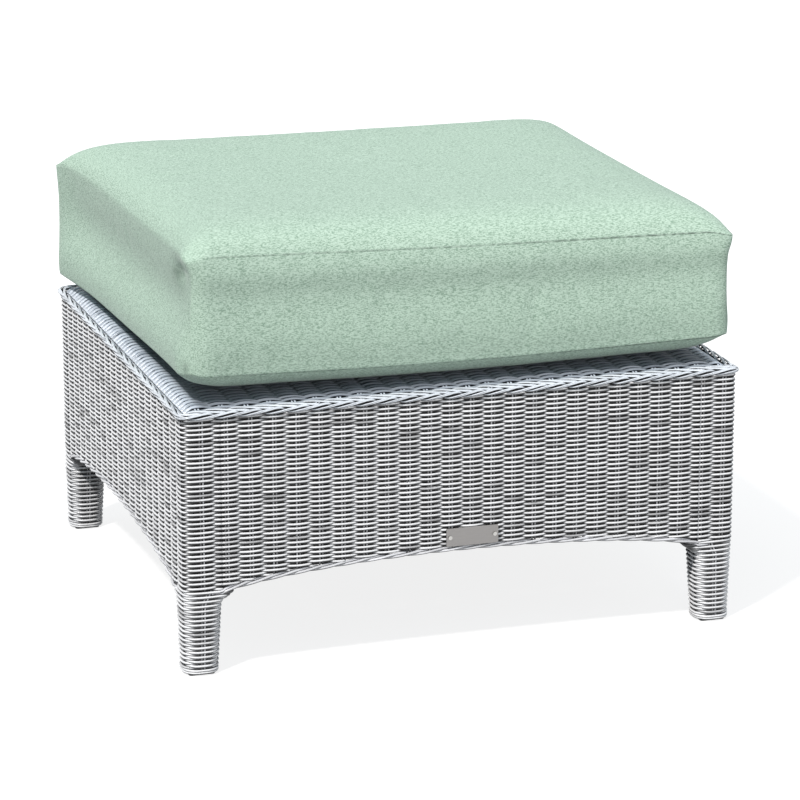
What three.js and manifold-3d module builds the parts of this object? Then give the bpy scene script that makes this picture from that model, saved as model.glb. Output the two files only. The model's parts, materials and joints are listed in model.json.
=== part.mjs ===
// Outdoor ottoman footstool: a woven base on an aluminium frame, with a loose boxed cushion on its deck.
// Millimetres, +Z up. The origin is on the floor under the middle of the base, and the front faces -Y.

import * as THREE from "three";
import { mergeVertices } from "three/addons/utils/BufferGeometryUtils.js";
import Module from "manifold-3d";

const wasm = await Module();
wasm.setup();

// Clearances
const FIT_GAP = 0.3; // between two pieces that touch
const CUT_OVERRUN = 4; // how far a cutting solid runs past the faces it cuts

// Woven base, measured over the weave
const BASE_WIDTH = 620;
const BASE_DEPTH = 573;
const DECK_HEIGHT = 290; // top of the woven deck
const WALL_THICKNESS = 7.2; // stakes with weavers in front and behind
const STAKES_ACROSS = 25; // upright stakes along the front and the rear, from leg to leg
const STAKES_BACK = 21; // along each side
const WALL_RIB_DEPTH = 2.3; // how far the face falls back between stakes, where the weavers cross
const RIB_STEPS = 4; // chords from one stake to the next
const DECK_THICKNESS = 7;
const DECK_SHOULDER_WIDTH = 13; // rounded-off edge of the deck, where it falls to the braid
const DECK_SHOULDER_DROP = 4.5;
const CORNER_RADIUS = 9.5;
const CORNER_STEPS = 4; // chords in a quarter turn

// Legs
const POST_SIZE = 28; // square tube
const POST_WALL = 1.8;
const LEG_TAPER = 4.7; // how much narrower the leg is at the floor than under the wall
const LEG_FLOOR_GAP = 1; // the weave stops short of the floor
const GLIDE_THICKNESS = 4;
const GLIDE_PLUG_LENGTH = 18;
const GLIDE_RADIUS = 3;

// Arched lower edge of the four walls
const ARCH_END_HEIGHT = 88.5;
const ARCH_RISE = 22.4;
const ARCH_EXPONENT = 0.7; // below 1 the curve springs steeply from the legs
const ARCH_STEPS = 20;
const HEM_HEIGHT = 5.5; // twisted edging under the wall
const HEM_PROUD = 0.8;
const HEM_SIDES = 8;

// Frame rails
const RAIL_SIZE = 20; // square tube
const RAIL_WALL = 1.5;
const DECK_BAR_SPACING = 190;
const ARCH_ROD_DIAMETER = 8;
const ARCH_ROD_SIDES = 8;

// Braid round the top edge
const RIM_HEIGHT = 9;
const RIM_WIDTH = 9.9;
const RIM_PROUD = 2.7;
const RIM_INNER_RADIUS = 2;
const RIM_SIDES = 12;
const RIM_DROP = 1.3; // top of the braid below the deck

// Plate on the front wall
const PLATE_WIDTH = 58;
const PLATE_HEIGHT = 20;
const PLATE_THICKNESS = 1.2;
const PLATE_RADIUS = 1.5;
const PLATE_CENTRE_X = 7;
const PLATE_ABOVE_HEM = 0.8; // at the top of the arch
const RIVET_INSET = 4; // centre from the end of the plate
const RIVET_SHANK_DIAMETER = 2.4;
const RIVET_HEAD_DIAMETER = 4.4;
const RIVET_HEAD_HEIGHT = 1.1;
const RIVET_DEPTH = 5; // how far the shank goes into the weave
const RIVET_SIDES = 16;

// Cushion cover: two crowned panels and a boxing band sewn between them
const CUSHION_SIDE_SETBACK = 6.5; // corners of its seams inside the base, at each side
const CUSHION_END_SETBACK = 10; // the same at the front and the rear
const CUSHION_DRAW = 10; // how far the middle of each side is drawn in
const DRAW_EXPONENT = 4;
const BOXING_HEIGHT = 128; // seam to seam
const BOXING_BULGE = 4;
const LOWER_SEAM_LIFT = 16; // lower seam above the deck
const TOP_CROWN = 33; // middle of the top above its seam
const CROWN_EXPONENT = 8; // high values give a flat middle
const CROWN_EDGE_EXPONENT = 0.45; // below 1 the crown springs steeply from its seam
const BELLY_EXPONENT = 10;
const COVER_THICKNESS = 1.6;
const PANEL_COLUMNS = 18;
const PANEL_ROWS = 16;
const BOXING_BANDS = 6;
const TOP_CORNER_LIFTS = { frontLeft: 14, frontRight: 1, rearLeft: 3, rearRight: 1 };
const LOWER_CORNER_LIFTS = { frontLeft: 16, frontRight: 14, rearLeft: -1, rearRight: 7 };

// Cushion filling: a flat foam core between two fibre layers
const FIBRE_EDGE_DEPTH = 23; // foam face below the top seam and above the lower one

// Zip in the rear of the boxing
const ZIP_END_SETBACK = 73.5; // ends of the zip inside the corners of the cushion
const ZIP_TAPE_HEIGHT = 28;
const ZIP_TAPE_THICKNESS = 1.2;
const ZIP_PROUD = 1.6; // at the middle of the drawn-in rear side
const CHAIN_WIDTH = 6;
const CHAIN_PROUD = 1.4;
const SLIDER_LENGTH = 12;
const SLIDER_WIDTH = 9;
const SLIDER_THICKNESS = 2.4;
const STOP_LENGTH = 4;
const STOP_THICKNESS = 2;
const BAIL_LENGTH = 8; // staple on the slider that the pull turns under
const BAIL_WIDTH = 2.4;
const BAIL_THICKNESS = 1.2;
const PULL_LENGTH = 32; // from its turning axis
const PULL_WIDTH = 8;
const PULL_THICKNESS = 1.6;
const PULL_SIDES = 12;

const WEAVE = { color: 0x9d9e9f, roughness: 0.62, metalness: 0 };
const BRAID = { color: 0xb9bdc1, roughness: 0.6, metalness: 0 };
const ALUMINIUM = { color: 0x8f9294, roughness: 0.45, metalness: 0.8 };
const NYLON = { color: 0x2b2c2e, roughness: 0.7, metalness: 0 };
const BRUSHED_PLATE = { color: 0x969492, roughness: 0.35, metalness: 0.9 };
const COVER_FABRIC = { color: 0xb2cdb8, roughness: 0.95, metalness: 0 };
const FOAM = { color: 0xe7dfb4, roughness: 1, metalness: 0 };
const FIBRE = { color: 0xf2f2ee, roughness: 1, metalness: 0 };
const ZIP_TAPE = { color: 0x9fb8a5, roughness: 0.9, metalness: 0 };
const ZIP_METAL = { color: 0xb6b3ab, roughness: 0.35, metalness: 0.9 };

// Levels and places that follow from the sizes above
const rimTop = DECK_HEIGHT - RIM_DROP;
const wallTop = rimTop - RIM_HEIGHT - FIT_GAP;
const legWidth = POST_SIZE + 2 * (WALL_THICKNESS + FIT_GAP);
const railTop = DECK_HEIGHT - DECK_THICKNESS - FIT_GAP;
const postX = BASE_WIDTH / 2 - legWidth / 2;
const postY = BASE_DEPTH / 2 - legWidth / 2;
const cushionWidth = BASE_WIDTH - 2 * CUSHION_SIDE_SETBACK; // corner to corner along the front seam
const cushionDepth = BASE_DEPTH - 2 * CUSHION_END_SETBACK;
const zipLength = cushionWidth - 2 * ZIP_END_SETBACK;
const lowerSeam = DECK_HEIGHT + LOWER_SEAM_LIFT;
const topSeam = lowerSeam + BOXING_HEIGHT;
const restHeight = DECK_HEIGHT + FIT_GAP + COVER_THICKNESS; // inner face of the bottom panel on the deck
const foamInset = COVER_THICKNESS + FIT_GAP;
const foamLow = lowerSeam + FIBRE_EDGE_DEPTH;
const foamHigh = topSeam - FIBRE_EDGE_DEPTH;
const zipFace = cushionDepth / 2 - CUSHION_DRAW + BOXING_BULGE + ZIP_PROUD; // outer face of the tape
const zipHeight = (lowerSeam + topSeam) / 2;
const chainReach = zipLength / 2 - FIT_GAP - STOP_LENGTH;
const sliderX = -chainReach + SLIDER_LENGTH / 2; // closed
const pullDepth = CHAIN_PROUD + SLIDER_THICKNESS + 2 * FIT_GAP + PULL_THICKNESS / 2;
const xAxis = new THREE.Vector3(1, 0, 0);
const yAxis = new THREE.Vector3(0, 1, 0);
const zAxis = new THREE.Vector3(0, 0, 1);

// Meshes

function named(name, geometry, finish) {
  const mesh = new THREE.Mesh(geometry, new THREE.MeshStandardMaterial(finish));
  mesh.name = name;
  return mesh;
}

function toSolid(geometry) {
  const bare = geometry.clone();
  bare.deleteAttribute("normal");
  bare.deleteAttribute("uv");
  const merged = mergeVertices(bare);
  return new wasm.Manifold(
    new wasm.Mesh({
      numProp: 3,
      vertProperties: merged.attributes.position.array,
      triVerts: new Uint32Array(merged.index.array),
    }),
  );
}

function toGeometry(solid) {
  const { vertProperties, triVerts } = solid.getMesh();
  const geometry = new THREE.BufferGeometry();
  geometry.setAttribute("position", new THREE.BufferAttribute(vertProperties, 3));
  geometry.setIndex(new THREE.BufferAttribute(triVerts, 1));
  geometry.computeVertexNormals();
  return geometry;
}

// A closed mesh from a list of points and a list of corner triples
function meshOf(points, triangles) {
  const geometry = new THREE.BufferGeometry();
  geometry.setAttribute("position", new THREE.Float32BufferAttribute(points.flat(), 3));
  geometry.setIndex(triangles);
  geometry.computeVertexNormals();
  return geometry;
}

// Joins rings of equal count, each anticlockwise seen from the last one, and caps both ends
function stackRings(rings) {
  const count = rings[0].length;
  const triangles = [];
  for (let ring = 0; ring + 1 < rings.length; ring++) {
    for (let i = 0; i < count; i++) {
      const a = ring * count + i;
      const b = ring * count + ((i + 1) % count);
      triangles.push(a, b, b + count, a, b + count, a + count);
    }
  }
  const last = (rings.length - 1) * count;
  for (let i = 1; i + 1 < count; i++) {
    triangles.push(0, i + 1, i, last, last + i, last + i + 1);
  }
  return meshOf(rings.flat(), triangles);
}

// Joins rings of equal count into a closed loop of rings
function loopRings(rings) {
  const count = rings[0].length;
  const triangles = [];
  for (let ring = 0; ring < rings.length; ring++) {
    const next = (ring + 1) % rings.length;
    for (let i = 0; i < count; i++) {
      const j = (i + 1) % count;
      const a = ring * count;
      const b = next * count;
      triangles.push(a + i, a + j, b + j, a + i, b + j, b + i);
    }
  }
  return meshOf(rings.flat(), triangles);
}

// A rounded rectangle round the middle at one height, anticlockwise from above
function roundedOutline(halfX, halfY, radius, z) {
  const corners = [
    [1, 1, 0],
    [-1, 1, 1],
    [-1, -1, 2],
    [1, -1, 3],
  ];
  return corners.flatMap(([sideX, sideY, quarter]) =>
    Array.from({ length: CORNER_STEPS + 1 }, (_, step) => {
      const angle = (quarter + step / CORNER_STEPS) * (Math.PI / 2);
      return [
        sideX * (halfX - radius) + radius * Math.cos(angle),
        sideY * (halfY - radius) + radius * Math.sin(angle),
        z,
      ];
    }),
  );
}

function squareTube(size, wall, length) {
  const half = size / 2;
  const hollow = half - wall;
  const shape = new THREE.Shape([
    new THREE.Vector2(-half, -half),
    new THREE.Vector2(half, -half),
    new THREE.Vector2(half, half),
    new THREE.Vector2(-half, half),
  ]);
  shape.holes.push(
    new THREE.Path([
      new THREE.Vector2(-hollow, -hollow),
      new THREE.Vector2(-hollow, hollow),
      new THREE.Vector2(hollow, hollow),
      new THREE.Vector2(hollow, -hollow),
    ]),
  );
  return new THREE.ExtrudeGeometry(shape, { depth: length, bevelEnabled: false });
}

function boxBetween(low, high) {
  const size = low.map((value, axis) => high[axis] - value);
  const middle = low.map((value, axis) => (high[axis] + value) / 2);
  return new THREE.BoxGeometry(...size).translate(...middle);
}

// Legs

function legPost() {
  const bottom = GLIDE_THICKNESS + FIT_GAP;
  return squareTube(POST_SIZE, POST_WALL, railTop - bottom).translate(0, 0, bottom);
}

function footGlide() {
  const pad = POST_SIZE / 2;
  const plug = POST_SIZE / 2 - POST_WALL - FIT_GAP;
  return stackRings([
    roundedOutline(pad, pad, GLIDE_RADIUS, 0),
    roundedOutline(pad, pad, GLIDE_RADIUS, GLIDE_THICKNESS),
    roundedOutline(plug, plug, GLIDE_RADIUS, GLIDE_THICKNESS),
    roundedOutline(plug, plug, GLIDE_RADIUS, GLIDE_THICKNESS + GLIDE_PLUG_LENGTH),
  ]);
}

// The weave wraps the foot of the leg all round, and above the arches only the two outer sides
function wovenLeg(sideX, sideY) {
  const half = legWidth / 2;
  const foot = (legWidth - LEG_TAPER) / 2;
  const outside = toSolid(
    stackRings([
      roundedOutline(foot, foot, CORNER_RADIUS, LEG_FLOOR_GAP),
      roundedOutline(half, half, CORNER_RADIUS, ARCH_END_HEIGHT),
      roundedOutline(half, half, CORNER_RADIUS, wallTop),
    ]),
  );
  const bore = POST_SIZE / 2 + FIT_GAP;
  const boreCut = toSolid(boxBetween([-bore, -bore, -CUT_OVERRUN], [bore, bore, wallTop + CUT_OVERRUN]));
  const wall = half - WALL_THICKNESS;
  const reach = half + CUT_OVERRUN;
  const innerCut = toSolid(
    boxBetween(
      [sideX > 0 ? -reach : -wall, sideY > 0 ? -reach : -wall, ARCH_END_HEIGHT],
      [sideX > 0 ? wall : reach, sideY > 0 ? wall : reach, wallTop + CUT_OVERRUN],
    ),
  );
  // Above the arch the walls meet square to the leg, so the leg is filled out to the corner of its section
  const squareEnds = toSolid(
    boxBetween([-half, -half, ARCH_END_HEIGHT], [half, half, wallTop]),
  ).subtract(
    toSolid(
      boxBetween(
        [sideX > 0 ? 0 : -reach, sideY > 0 ? 0 : -reach, 0],
        [sideX > 0 ? reach : 0, sideY > 0 ? reach : 0, wallTop + CUT_OVERRUN],
      ),
    ),
  );
  return toGeometry(outside.add(squareEnds).subtract(boreCut).subtract(innerCut));
}

function buildLegs() {
  const group = new THREE.Group();
  for (const [endName, sideY] of [["front", -1], ["rear", 1]]) {
    for (const [sideName, sideX] of [["left", -1], ["right", 1]]) {
      const corner = new THREE.Group();
      corner.position.set(sideX * postX, sideY * postY, 0);
      const place = `${endName}_${sideName}`;
      corner.add(named(`leg_post_${place}`, legPost(), ALUMINIUM));
      corner.add(named(`foot_glide_${place}`, footGlide(), NYLON));
      corner.add(named(`woven_leg_${place}`, wovenLeg(sideX, sideY), WEAVE));
      group.add(corner);
    }
  }
  return group;
}

// Walls, each drawn as the front one is and then turned to its side

// Height of the arched edge at a place along a wall, from the middle, whose half length is given
function archHeight(along, halfLength) {
  const share = Math.min(1, Math.abs(along) / halfLength);
  return ARCH_END_HEIGHT + ARCH_RISE * Math.pow(1 - share * share, ARCH_EXPONENT);
}

// Places along the arch, closer together towards its ends, where it is steepest
function archPlaces(halfLength) {
  return Array.from({ length: ARCH_STEPS + 1 }, (_, step) => {
    const turn = (step / ARCH_STEPS - 1 / 2) * Math.PI;
    return halfLength * Math.sin(turn);
  });
}

// Depth of the face along a wall in plan, out at each stake and back where the weavers cross between stakes
function ribbedFace(halfSpan, stakeCount) {
  const steps = (stakeCount - 1) * RIB_STEPS;
  return Array.from({ length: steps + 1 }, (_, step) => {
    const fallShare = 1 - Math.abs(Math.cos((step / RIB_STEPS) * Math.PI));
    return new THREE.Vector2(halfSpan * ((2 * step) / steps - 1), WALL_RIB_DEPTH * fallShare);
  });
}

// The elevation is cut to the arch, and the plan carries a rib at every stake
function wovenWall(halfLength, stakeCount) {
  const edge = archPlaces(halfLength).map(
    (along) => new THREE.Vector2(along, archHeight(along, halfLength) + HEM_HEIGHT + FIT_GAP),
  );
  const shape = new THREE.Shape([
    ...edge,
    new THREE.Vector2(halfLength, wallTop),
    new THREE.Vector2(-halfLength, wallTop),
  ]);
  const elevation = new THREE.ExtrudeGeometry(shape, {
    depth: WALL_THICKNESS + 2 * CUT_OVERRUN,
    bevelEnabled: false,
  })
    .rotateX(Math.PI / 2)
    .translate(0, WALL_THICKNESS + CUT_OVERRUN, 0);
  const halfSpan = halfLength + FIT_GAP + legWidth / 2; // to the stake in the middle of each leg
  const plan = new THREE.Shape([
    ...ribbedFace(halfSpan, stakeCount),
    new THREE.Vector2(halfSpan, WALL_THICKNESS),
    new THREE.Vector2(-halfSpan, WALL_THICKNESS),
  ]);
  const board = new THREE.ExtrudeGeometry(plan, { depth: wallTop + CUT_OVERRUN, bevelEnabled: false });
  return toGeometry(toSolid(elevation).intersect(toSolid(board)));
}

// An oval bar that follows the arch, from places along it and the height of its middle at each
function archBar(places, heightAt, sides, halfThickness, halfHeight) {
  return stackRings(
    places.map((along) =>
      Array.from({ length: sides }, (_, side) => {
        const angle = ((side + 1 / 2) / sides) * 2 * Math.PI;
        return [along, halfThickness * Math.cos(angle), heightAt(along) + halfHeight * Math.sin(angle)];
      }),
    ),
  );
}

function archHem(halfLength) {
  const halfThickness = (WALL_THICKNESS + HEM_PROUD) / 2;
  return archBar(
    archPlaces(halfLength),
    (along) => archHeight(along, halfLength) + HEM_HEIGHT / 2,
    HEM_SIDES,
    halfThickness,
    HEM_HEIGHT / 2,
  ).translate(0, halfThickness - HEM_PROUD, 0);
}

function archRail(halfLength, halfSpan) {
  const radius = ARCH_ROD_DIAMETER / 2;
  return archBar(
    [-halfSpan, ...archPlaces(halfLength), halfSpan],
    (along) => archHeight(along, halfLength) + HEM_HEIGHT + radius,
    ARCH_ROD_SIDES,
    radius,
    radius,
  ).translate(0, WALL_THICKNESS + FIT_GAP + radius, 0);
}

function topRail(halfSpan) {
  const half = RAIL_SIZE / 2;
  return squareTube(RAIL_SIZE, RAIL_WALL, 2 * halfSpan)
    .rotateY(Math.PI / 2)
    .translate(-halfSpan, WALL_THICKNESS + FIT_GAP + half, railTop - half);
}


// A round bar along Y, from one depth to another
function pinAlongY(diameter, fromY, toY, sides) {
  return new THREE.CylinderGeometry(diameter / 2, diameter / 2, toY - fromY, sides).translate(
    0,
    (fromY + toY) / 2,
    0,
  );
}

// The plate and its rivets, in the front wall's own frame, whose outer face is at y = 0
function buildPlate(wallSolid) {
  const centreZ = ARCH_END_HEIGHT + ARCH_RISE + HEM_HEIGHT + PLATE_ABOVE_HEM + PLATE_HEIGHT / 2;
  const outline = roundedOutline(PLATE_WIDTH / 2, PLATE_HEIGHT / 2, PLATE_RADIUS, 0).map(
    ([x, y]) => new THREE.Vector2(x, y),
  );
  const blank = new THREE.ExtrudeGeometry(new THREE.Shape(outline), {
    depth: PLATE_THICKNESS,
    bevelEnabled: false,
  })
    .rotateX(Math.PI / 2)
    .translate(PLATE_CENTRE_X, -FIT_GAP, centreZ);
  const holeDiameter = RIVET_SHANK_DIAMETER + 2 * FIT_GAP;
  const face = -FIT_GAP - PLATE_THICKNESS;
  const headBack = face - FIT_GAP;
  let plate = toSolid(blank);
  let wall = wallSolid;
  const group = new THREE.Group();
  for (const [side, sign] of [["left", -1], ["right", 1]]) {
    const x = PLATE_CENTRE_X + sign * (PLATE_WIDTH / 2 - RIVET_INSET);
    const bore = pinAlongY(holeDiameter, face - CUT_OVERRUN, RIVET_DEPTH + FIT_GAP, RIVET_SIDES);
    const hole = toSolid(bore.translate(x, 0, centreZ));
    plate = plate.subtract(hole);
    wall = wall.subtract(hole);
    const head = pinAlongY(RIVET_HEAD_DIAMETER, headBack - RIVET_HEAD_HEIGHT, headBack, RIVET_SIDES);
    const shank = pinAlongY(
      RIVET_SHANK_DIAMETER,
      headBack - RIVET_HEAD_HEIGHT / 2,
      RIVET_DEPTH,
      RIVET_SIDES,
    );
    const rivet = toGeometry(toSolid(head).add(toSolid(shank)));
    group.add(named(`plate_rivet_${side}`, rivet.translate(x, 0, centreZ), BRUSHED_PLATE));
  }
  group.add(named("nameplate", toGeometry(plate), BRUSHED_PLATE));
  return { group, wall };
}

function buildWalls() {
  const group = new THREE.Group();
  const sides = [
    ["front", 0, BASE_WIDTH, BASE_DEPTH, STAKES_ACROSS],
    ["right", 1, BASE_DEPTH, BASE_WIDTH, STAKES_BACK],
    ["rear", 2, BASE_WIDTH, BASE_DEPTH, STAKES_ACROSS],
    ["left", 3, BASE_DEPTH, BASE_WIDTH, STAKES_BACK],
  ];
  for (const [name, quarter, length, depth, stakeCount] of sides) {
    const halfWall = length / 2 - legWidth - FIT_GAP;
    const halfSpan = length / 2 - WALL_THICKNESS - FIT_GAP - POST_SIZE - FIT_GAP;
    const side = new THREE.Group();
    side.rotation.z = quarter * (Math.PI / 2);
    const face = new THREE.Group();
    face.position.y = -depth / 2;
    let wall = wovenWall(halfWall, stakeCount);
    if (name === "front") {
      const plated = buildPlate(toSolid(wall));
      wall = toGeometry(plated.wall);
      face.add(plated.group);
    }
    face.add(named(`woven_wall_${name}`, wall, WEAVE));
    face.add(named(`arch_hem_${name}`, archHem(halfWall), BRAID));
    face.add(named(`arch_rail_${name}`, archRail(halfWall, halfSpan), ALUMINIUM));
    face.add(named(`top_rail_${name}`, topRail(halfSpan), ALUMINIUM));
    side.add(face);
    group.add(side);
  }
  return group;
}

// Deck and rim

function wovenDeck() {
  const inset = RIM_WIDTH - RIM_PROUD + FIT_GAP;
  const halfX = BASE_WIDTH / 2 - inset;
  const halfY = BASE_DEPTH / 2 - inset;
  const flatX = halfX - DECK_SHOULDER_WIDTH;
  const flatY = halfY - DECK_SHOULDER_WIDTH;
  return stackRings([
    roundedOutline(halfX, halfY, RIM_INNER_RADIUS, DECK_HEIGHT - DECK_THICKNESS),
    roundedOutline(halfX, halfY, RIM_INNER_RADIUS, DECK_HEIGHT - DECK_SHOULDER_DROP),
    roundedOutline(flatX, flatY, RIM_INNER_RADIUS, DECK_HEIGHT),
  ]);
}

function rimBraid() {
  const middleOffset = RIM_PROUD - RIM_WIDTH / 2;
  const middleHeight = rimTop - RIM_HEIGHT / 2;
  const rings = Array.from({ length: RIM_SIDES }, (_, side) => {
    const angle = (side / RIM_SIDES) * 2 * Math.PI;
    const offset = middleOffset + (RIM_WIDTH / 2) * Math.cos(angle);
    const radius = Math.max(CORNER_RADIUS + offset, RIM_INNER_RADIUS);
    const height = middleHeight + (RIM_HEIGHT / 2) * Math.sin(angle);
    return roundedOutline(BASE_WIDTH / 2 + offset, BASE_DEPTH / 2 + offset, radius, height);
  });
  return loopRings(rings);
}

function deckBar() {
  const halfLength = BASE_DEPTH / 2 - WALL_THICKNESS - FIT_GAP - RAIL_SIZE - FIT_GAP;
  return squareTube(RAIL_SIZE, RAIL_WALL, 2 * halfLength)
    .rotateX(Math.PI / 2)
    .translate(0, halfLength, railTop - RAIL_SIZE / 2);
}

function buildDeck() {
  const group = new THREE.Group();
  for (const [name, side] of [["left", -1], ["right", 1]]) {
    const bar = named(`deck_bar_${name}`, deckBar(), ALUMINIUM);
    bar.position.x = (side * DECK_BAR_SPACING) / 2;
    group.add(bar);
  }
  group.add(named("woven_deck", wovenDeck(), WEAVE));
  group.add(named("rim_braid", rimBraid(), BRAID));
  return group;
}

// Cushion, drawn over a square of u across and v back, both from -1 to 1

function cornerLift(u, v, lifts) {
  const left = (1 - u) / 2;
  const front = (1 - v) / 2;
  const lift = (share, height) => share * share * height;
  return (
    lift(left * front, lifts.frontLeft) +
    lift((1 - left) * front, lifts.frontRight) +
    lift(left * (1 - front), lifts.rearLeft) +
    lift((1 - left) * (1 - front), lifts.rearRight)
  );
}

// A place in plan, with the outline grown by a given amount all round
function cushionPlace(u, v, growth) {
  const drawX = CUSHION_DRAW * (1 - Math.pow(Math.abs(v), DRAW_EXPONENT));
  const drawY = CUSHION_DRAW * (1 - Math.pow(Math.abs(u), DRAW_EXPONENT));
  return [
    u * (cushionWidth / 2 + growth - drawX),
    v * (cushionDepth / 2 + growth - drawY),
  ];
}

function swell(u, v, exponent) {
  return (1 - Math.pow(Math.abs(u), exponent)) * (1 - Math.pow(Math.abs(v), exponent));
}

function topSurface(u, v) {
  const crown = TOP_CROWN * Math.pow(swell(u, v, CROWN_EXPONENT), CROWN_EDGE_EXPONENT);
  return topSeam + cornerLift(u, v, TOP_CORNER_LIFTS) + crown;
}

function lowerSurface(u, v) {
  const belly = (lowerSeam - restHeight) * swell(u, v, BELLY_EXPONENT);
  return Math.max(lowerSeam + cornerLift(u, v, LOWER_CORNER_LIFTS) - belly, restHeight);
}

// Where a grid step lies between -1 and 1, with steps closer together near the seams, where the surface turns
function gridShare(step, count) {
  return Math.sin((step / count - 1 / 2) * Math.PI);
}

// A closed layer between two heights given over the square
function cushionLayer(lowAt, highAt, growth) {
  const columns = PANEL_COLUMNS + 1;
  const rows = PANEL_ROWS + 1;
  const points = [];
  for (const heightAt of [lowAt, highAt]) {
    for (let row = 0; row < rows; row++) {
      for (let column = 0; column < columns; column++) {
        const u = gridShare(column, PANEL_COLUMNS);
        const v = gridShare(row, PANEL_ROWS);
        points.push([...cushionPlace(u, v, growth), heightAt(u, v)]);
      }
    }
  }
  const high = columns * rows;
  const triangles = [];
  for (let row = 0; row < PANEL_ROWS; row++) {
    for (let column = 0; column < PANEL_COLUMNS; column++) {
      const a = row * columns + column;
      const b = a + 1;
      const c = a + columns + 1;
      const d = a + columns;
      triangles.push(high + a, high + b, high + c, high + a, high + c, high + d);
      triangles.push(a, c, b, a, d, c);
    }
  }
  const rim = outlineSteps().map(([column, row]) => row * columns + column);
  rim.forEach((a, i) => {
    const b = rim[(i + 1) % rim.length];
    triangles.push(a, b, high + b, a, high + b, high + a);
  });
  return meshOf(points, triangles);
}

// The outline of the square as grid steps, anticlockwise from the front left corner
function outlineSteps() {
  const steps = [];
  for (let column = 0; column < PANEL_COLUMNS; column++) steps.push([column, 0]);
  for (let row = 0; row < PANEL_ROWS; row++) steps.push([PANEL_COLUMNS, row]);
  for (let column = PANEL_COLUMNS; column > 0; column--) steps.push([column, PANEL_ROWS]);
  for (let row = PANEL_ROWS; row > 0; row--) steps.push([0, row]);
  return steps;
}

// A ring of the outline at a share of the way up the boxing
function boxingRing(share, growth) {
  const bulge = BOXING_BULGE * Math.sin(share * Math.PI);
  return outlineSteps().map(([column, row]) => {
    const u = gridShare(column, PANEL_COLUMNS);
    const v = gridShare(row, PANEL_ROWS);
    const low = lowerSeam + cornerLift(u, v, LOWER_CORNER_LIFTS) + FIT_GAP;
    const high = topSeam + cornerLift(u, v, TOP_CORNER_LIFTS) - FIT_GAP;
    return [...cushionPlace(u, v, growth + bulge), low + (high - low) * share];
  });
}

function boxingBand() {
  const shares = Array.from({ length: BOXING_BANDS + 1 }, (_, band) => band / BOXING_BANDS);
  const outside = shares.map((share) => boxingRing(share, 0));
  const inside = shares.map((share) => boxingRing(share, -COVER_THICKNESS)).reverse();
  const halfLength = zipLength / 2 + FIT_GAP;
  const halfHeight = ZIP_TAPE_HEIGHT / 2 + FIT_GAP;
  const reach = COVER_THICKNESS + BOXING_BULGE + CUSHION_DRAW;
  const slot = boxBetween(
    [-halfLength, zipFace - reach, zipHeight - halfHeight],
    [halfLength, zipFace + reach, zipHeight + halfHeight],
  );
  return toGeometry(toSolid(loopRings([...outside, ...inside])).subtract(toSolid(slot)));
}

function foamCore() {
  const outline = outlineSteps().map(([column, row]) => {
    const [x, y] = cushionPlace(gridShare(column, PANEL_COLUMNS), gridShare(row, PANEL_ROWS), -foamInset);
    return new THREE.Vector2(x, y);
  });
  return new THREE.ExtrudeGeometry(new THREE.Shape(outline), {
    depth: foamHigh - foamLow,
    bevelEnabled: false,
  }).translate(0, 0, foamLow);
}

function buildCushion() {
  const upperFibre = cushionLayer(() => foamHigh + FIT_GAP, (u, v) => topSurface(u, v) - FIT_GAP, -foamInset);
  const lowerFibre = cushionLayer(
    (u, v) => lowerSurface(u, v) + FIT_GAP,
    () => foamLow - FIT_GAP,
    -foamInset,
  );
  const topPanel = cushionLayer(topSurface, (u, v) => topSurface(u, v) + COVER_THICKNESS, 0);
  const bottomPanel = cushionLayer((u, v) => lowerSurface(u, v) - COVER_THICKNESS, lowerSurface, 0);
  return new THREE.Group().add(
    named("cushion_top_panel", topPanel, COVER_FABRIC),
    named("cushion_boxing", boxingBand(), COVER_FABRIC),
    named("cushion_bottom_panel", bottomPanel, COVER_FABRIC),
    named("foam_core", foamCore(), FOAM),
    named("fibre_layer_top", upperFibre, FIBRE),
    named("fibre_layer_bottom", lowerFibre, FIBRE),
  );
}

// Zip along the rear of the boxing, closed, with its slider at the left end

// A section drawn across the zip, as depths outwards from the tape face and heights, run along the zip
function alongZip(section, fromX, toX) {
  const shape = new THREE.Shape(section.map(([depth, height]) => new THREE.Vector2(height, depth)));
  return new THREE.ExtrudeGeometry(shape, { depth: toX - fromX, bevelEnabled: false })
    .applyMatrix4(new THREE.Matrix4().makeBasis(zAxis, yAxis, xAxis.clone().negate()))
    .translate(toX, 0, 0);
}

function zipChain() {
  const tape = boxBetween(
    [-zipLength / 2, -ZIP_TAPE_THICKNESS, -ZIP_TAPE_HEIGHT / 2],
    [zipLength / 2, 0, ZIP_TAPE_HEIGHT / 2],
  );
  const chain = boxBetween(
    [-chainReach, -ZIP_TAPE_THICKNESS / 2, -CHAIN_WIDTH / 2],
    [chainReach, CHAIN_PROUD, CHAIN_WIDTH / 2],
  );
  return toGeometry(toSolid(tape).add(toSolid(chain)));
}

function zipStop() {
  const half = CHAIN_WIDTH / 2;
  return boxBetween([0, FIT_GAP, -half], [STOP_LENGTH, FIT_GAP + STOP_THICKNESS, half]);
}

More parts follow.
